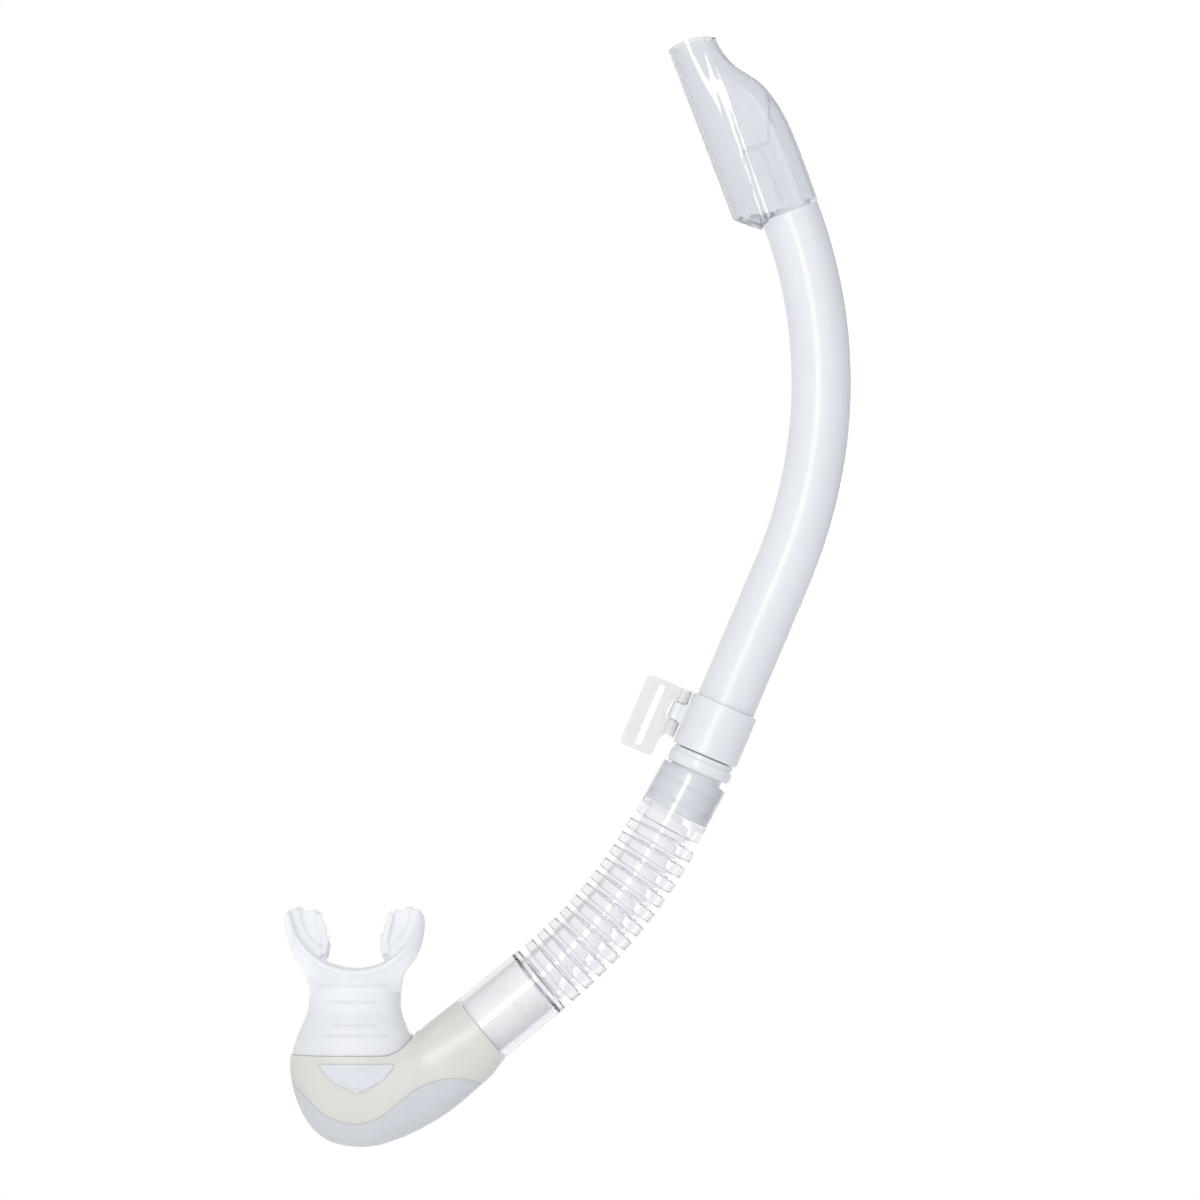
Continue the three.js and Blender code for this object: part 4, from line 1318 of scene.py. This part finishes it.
def shell_between(outer_inset, inner_inset, name="shell"):
    return cut(chamber_body(name, outer_inset), chamber_body("inner", inner_inset))


def mouthpiece_housing():
    piece = keep(chamber_body("housing_ivory", 0), below_skirt(0.03))
    spigot = keep(neck("mouth_spigot", SKIRT_WALL + 0.3, -115), below_skirt(-17))
    join(piece, spigot)
    cavity = keep(chamber_body("cavity", CHAMBER_WALL), below_skirt(3.4))
    cut(cavity, block("under_floor", (120, 80, 60), (MOUTH_X, 0, FLOOR_TOP - 30)))
    cut(piece, cavity)
    cut(piece, neck("mouth_bore", SKIRT_WALL + 2.3, -110, -134))
    cut(piece, rod("socket", CUFF_BORE_R, -SOCKET_DEPTH, 5, chamber_frame, sides=96))
    cut(piece, rod("hose_bore", 10.5, -40, 0, chamber_frame, sides=96))
    cut(piece, keep(shell_between(-2, COVER_THICK + 0.15), cover_region(0.05)))
    cut(piece, keep(shell_between(-2, 1.1), badge_block(0.07)))
    cut(piece, rod("valve_room", 13, BELOW_ALL, FLOOR_TOP - FLOOR_THICK, valve_frame))
    cut(piece, rod("valve_hole", VALVE_R + 0.3, BELOW_ALL, FLOOR_TOP + 1, valve_frame))
    dress(piece, "chamber", IVORY_PLASTIC, "ivory_plastic", "mouthpiece_housing", crease=40)


mouthpiece_housing()

# %% Bottom cover
DRAIN_PITCH = 7


def bottom_cover():
    piece = keep(shell_between(0, COVER_THICK, "bottom_cover_milky"), cover_region(0))
    for i in (-1, 0, 1):
        x = MOUTH_X + 1 + DRAIN_PITCH * i
        corners = [(x - 1.5, 3), (x + 1.5, 3), (x + 1.5, 11), (x - 1.5, 11)]
        drain = rounded(corners, radius=1.4, steps=6)
        cut(piece, loft("drain", [[(a, b, z) for a, b in drain] for z in (-180, -150)]))
    dress(piece, "chamber", COVER_PLASTIC_PAINTED_SHADE, "cover_plastic", "bottom_cover", crease=40)


bottom_cover()

# %% Badge
OVAL_HALF = (7.0, 4.1)
BADGE_Z = -141.3


def badge_oval(size):
    ring = circle(64, OVAL_HALF[0] * size, OVAL_HALF[1] * size, MOUTH_X + 1, BADGE_Z)
    return slab("oval", ring, -35, -5)


def badge():
    piece = keep(shell_between(-0.4, 0.8, "badge_blank"), badge_block(0))
    raised = keep(shell_between(-0.75, 0.3, "raised"), badge_oval(1))
    join(piece, cut(raised, badge_oval(0.84)))
    dress(piece, "chamber", BADGE_PLASTIC_PAINTED_LIGHT, "cover_plastic", "badge", crease=30)


badge()

# %% [markdown]
# ## Purge valve
#
# Under the chamber's floor a round seat with crossed spokes holds a thin silicone flap by its stem. A
# blast of breath pushes water through the spokes, past the flap's edge and out of the cover's slots.

# %% Valve seat and flap
FLAP_R = 10
VALVE_TRAVEL = 1.5


def purge_valve_seat():
    foot = FLOOR_TOP - FLOOR_THICK
    bore = VALVE_R - 2.2
    rim = rounded([(bore, foot), (VALVE_R, foot), (VALVE_R, FLOOR_TOP), (bore, FLOOR_TOP)], radius=0.35)
    piece = turned("purge_valve_seat_ivory", [rim], valve_frame, IVORY_PLASTIC)
    middle = (FLOOR_TOP + foot) / 2
    reach = 2 * VALVE_R - 2
    for size in ((reach, 1.8, FLOOR_THICK - 0.2), (1.8, reach, FLOOR_THICK - 0.2)):
        join(piece, block("spoke", size, (0, 0, middle), valve_frame))
    join(piece, rod("hub", 3, foot, FLOOR_TOP, valve_frame))
    cut(piece, rod("stem_hole", 1.5, foot - 1, FLOOR_TOP + 1, valve_frame))
    ease_edges(piece, 0.25)
    dress(piece, "chamber", IVORY_PLASTIC, "ivory_plastic", "purge_valve_seat")


def purge_flap():
    seat = FLOOR_TOP - FLOOR_THICK - 0.3
    barb = FLOOR_TOP + VALVE_TRAVEL + 0.4
    outline = rounded([
        (0, seat - 1.3), (2.6, seat - 1.2, 0.3), (FLAP_R - 1, seat - 0.62),
        (FLAP_R, seat - 0.7, 0.2), (FLAP_R, seat, 0.2), (1.1, seat, 0.3), (1.1, barb, 0.1),
        (2.1, barb, 0.2), (1.2, barb + 2.4, 0.3), (0, barb + 2.4),
    ])
    rings = [level_circle(72, max(r, 0.02), z) for r, z in outline]
    piece = loft("purge_flap_silicone", rings, valve_frame)
    dress(piece, "purge_flap", FROSTED_SILICONE, "frosted_silicone", "purge_flap")


purge_valve_seat()
purge_flap()

# %% [markdown]
# ## Mouthpiece
#
# The mouthpiece is one soft moulding: a neck, a lip shield arched round the teeth, and two bite tabs
# with tooth bumps. Rubber has no sharp joins, so the solids are joined roughly, then given one even
# skin by a voxel remesh and smoothed. That melts the joins into fillets, as the mould's own rounding
# does. The skin is fine enough for the grip lines on the neck to survive.

# %% Mouthpiece solids
SHIELD_DEPTHS = smooth_path(
    [(-110, 6.5), (-107, 8.6), (-104, 11), (-100, 12.9), (-94, 13.9), (-86, 14), (-75, 13.8)]
)
RIM_PROUD = 0.55
RIM_WIDTH = 2.1
ARCH_R = 25.4
ARCH_Z = -73.9
TAB_THICK = 4.4
SHIELD_SIDE = [
    (17.9, -108), (18.2, -104.5), (19.9, -99.8), (23.8, -94.4), (26.3, -87.8), (27.3, -80.5),
    (26.6, -77.2), (24.6, -77),
]
TAB_EDGE = [
    (24.9, -76.7), (21.4, -74.8), (18.4, -76.7), (15.6, -76), (13.4, -77.4), (12.4, -82), (10, -87.5),
    (10.4, -93.8), (13, -97.5),
]
mouth_frame = frame_at(WORLD, MOUTH_X, 0, 0)


def ball(name, radius, spot, place):
    rows = 10
    rings = []
    for k in range(1, rows):
        polar = math.pi * k / rows
        height = spot[2] + radius * math.cos(polar)
        rings.append(level_circle(20, radius * math.sin(polar), height, spot[0], spot[1]))
    return loft(name, rings, place)


def arch_disc(radius):
    return slab("arch", circle(96, radius, radius, 0, ARCH_Z), -CUT_REACH, CUT_REACH, mouth_frame)


def shield_body(proud):
    """The shield's outline, as deep as the neck where it starts and fuller round the teeth."""
    right = smooth_path(SHIELD_SIDE, per_span=6)
    outline = [*right, *[(-x, z) for x, z in reversed(right)]]
    shield = slab("lip_shield", outline, -CUT_REACH, CUT_REACH, mouth_frame)
    cheeks = [oval(0, 27.6, depth + proud, 3, 96, lambda x, z=height: z) for height, depth in SHIELD_DEPTHS]
    return keep(shield, loft("cheeks", cheeks, mouth_frame))


def lip_shield():
    """The shield with a raised band along its concave edge."""
    band = keep(shield_body(RIM_PROUD), arch_disc(ARCH_R + RIM_WIDTH))
    return cut(join(shield_body(0), band), arch_disc(ARCH_R))


def band_path(turns):
    """A band just inside the arch, where the teeth close on the tab: out along it and back again."""
    return [(ARCH_R + 0.6, a) for a in turns] + [(ARCH_R - 3.6, a) for a in reversed(turns)]


def bite_tab(side):
    edge = [*smooth_path(TAB_EDGE, per_span=4), (22, -93), (26, -84)]
    half = TAB_THICK / 2
    tab = slab("tab", [(side * x, z) for x, z in edge], -half, half, mouth_frame)
    bead = [(15.2, -77.5), (12.6, -77.5), (10.4, -87.5), (10.9, -93.5), (13.2, -93.5), (12.9, -87.5)]
    join(tab, slab("bead", [(side * x, z) for x, z in bead], -TAB_THICK, TAB_THICK, mouth_frame))
    for x, z, radius in ((21.4, -77.4, 2.7), (15.5, -78.1, 2.1)):
        join(tab, ball("tooth_bump", radius, (side * x, 0, z), mouth_frame))
    turns = [math.radians(5 + 52 * k / 12) for k in range(13)]
    ridge = [(r * math.cos(a), ARCH_Z - r * math.sin(a)) for r, a in band_path(turns)]
    proud = TAB_THICK * 0.85
    join(tab, slab("ridge", [(side * x, z) for x, z in ridge], -proud, proud, mouth_frame))
    for x, z in ((12.4, -83.2), (11.2, -86.6), (10.9, -90.2), (11.6, -93.6)):
        join(tab, ball("scallop", 1.5, (side * x, 0, z), mouth_frame))
    return tab


# %% Mouthpiece
GRIP_LINES = [(-105.4, 12.5), (-111.6, 9.8), (-120.2, 8.8), (-124.4, 13.0)]
GRIP_DEPTH = 0.75
GRIP_WIDTH = 1.0


def grip_grooves():
    """Thin grooves across the neck's front and back that keep it from slipping in wet fingers."""
    skin = cut(neck("grip_skin", -2), neck("grip_bed", GRIP_DEPTH))
    bars = None
    for z, half_width in GRIP_LINES:
        bar = block("bar", (2 * half_width, 60, GRIP_WIDTH), (MOUTH_X, 0, z))
        bars = join(bars, bar) if bars else bar
    return keep(skin, bars)


def mouthpiece():
    piece = neck("mouthpiece_frosted", 0)
    above_seam = block("above_seam", (120, 80, 120), (MOUTH_X, 0, -100))
    keep(piece, cut(above_seam, below_skirt(0)))
    join(piece, lip_shield())
    for side in (1, -1):
        join(piece, bite_tab(side))
    cut(piece, neck("airway", SKIRT_WALL + 1, -98, -122))
    mouth = [oval(0, 12.5, 7, 2.6, 72, lambda x, z=height: z) for height in (-112, -96)]
    cut(piece, loft("mouth", mouth, mouth_frame))
    cut(piece, neck("skirt_room", SKIRT_WALL, -114, -140))
    cut(piece, grip_grooves())
    melt(piece, voxel=0.42, passes=5)
    dress(piece, "chamber", FROSTED_SILICONE, "frosted_silicone", "mouthpiece", crease=0)


mouthpiece()

# %% [markdown]
# ## Last measure
#
# The finished snorkel's box is measured against the box of the frame it was built round.

# %% Measure and finish
low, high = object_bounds()
growth = [round((a - b) * 1000, 2) for a, b in zip(high - low, cad_high - cad_low)]
print("visual box grew by", growth, "mm")
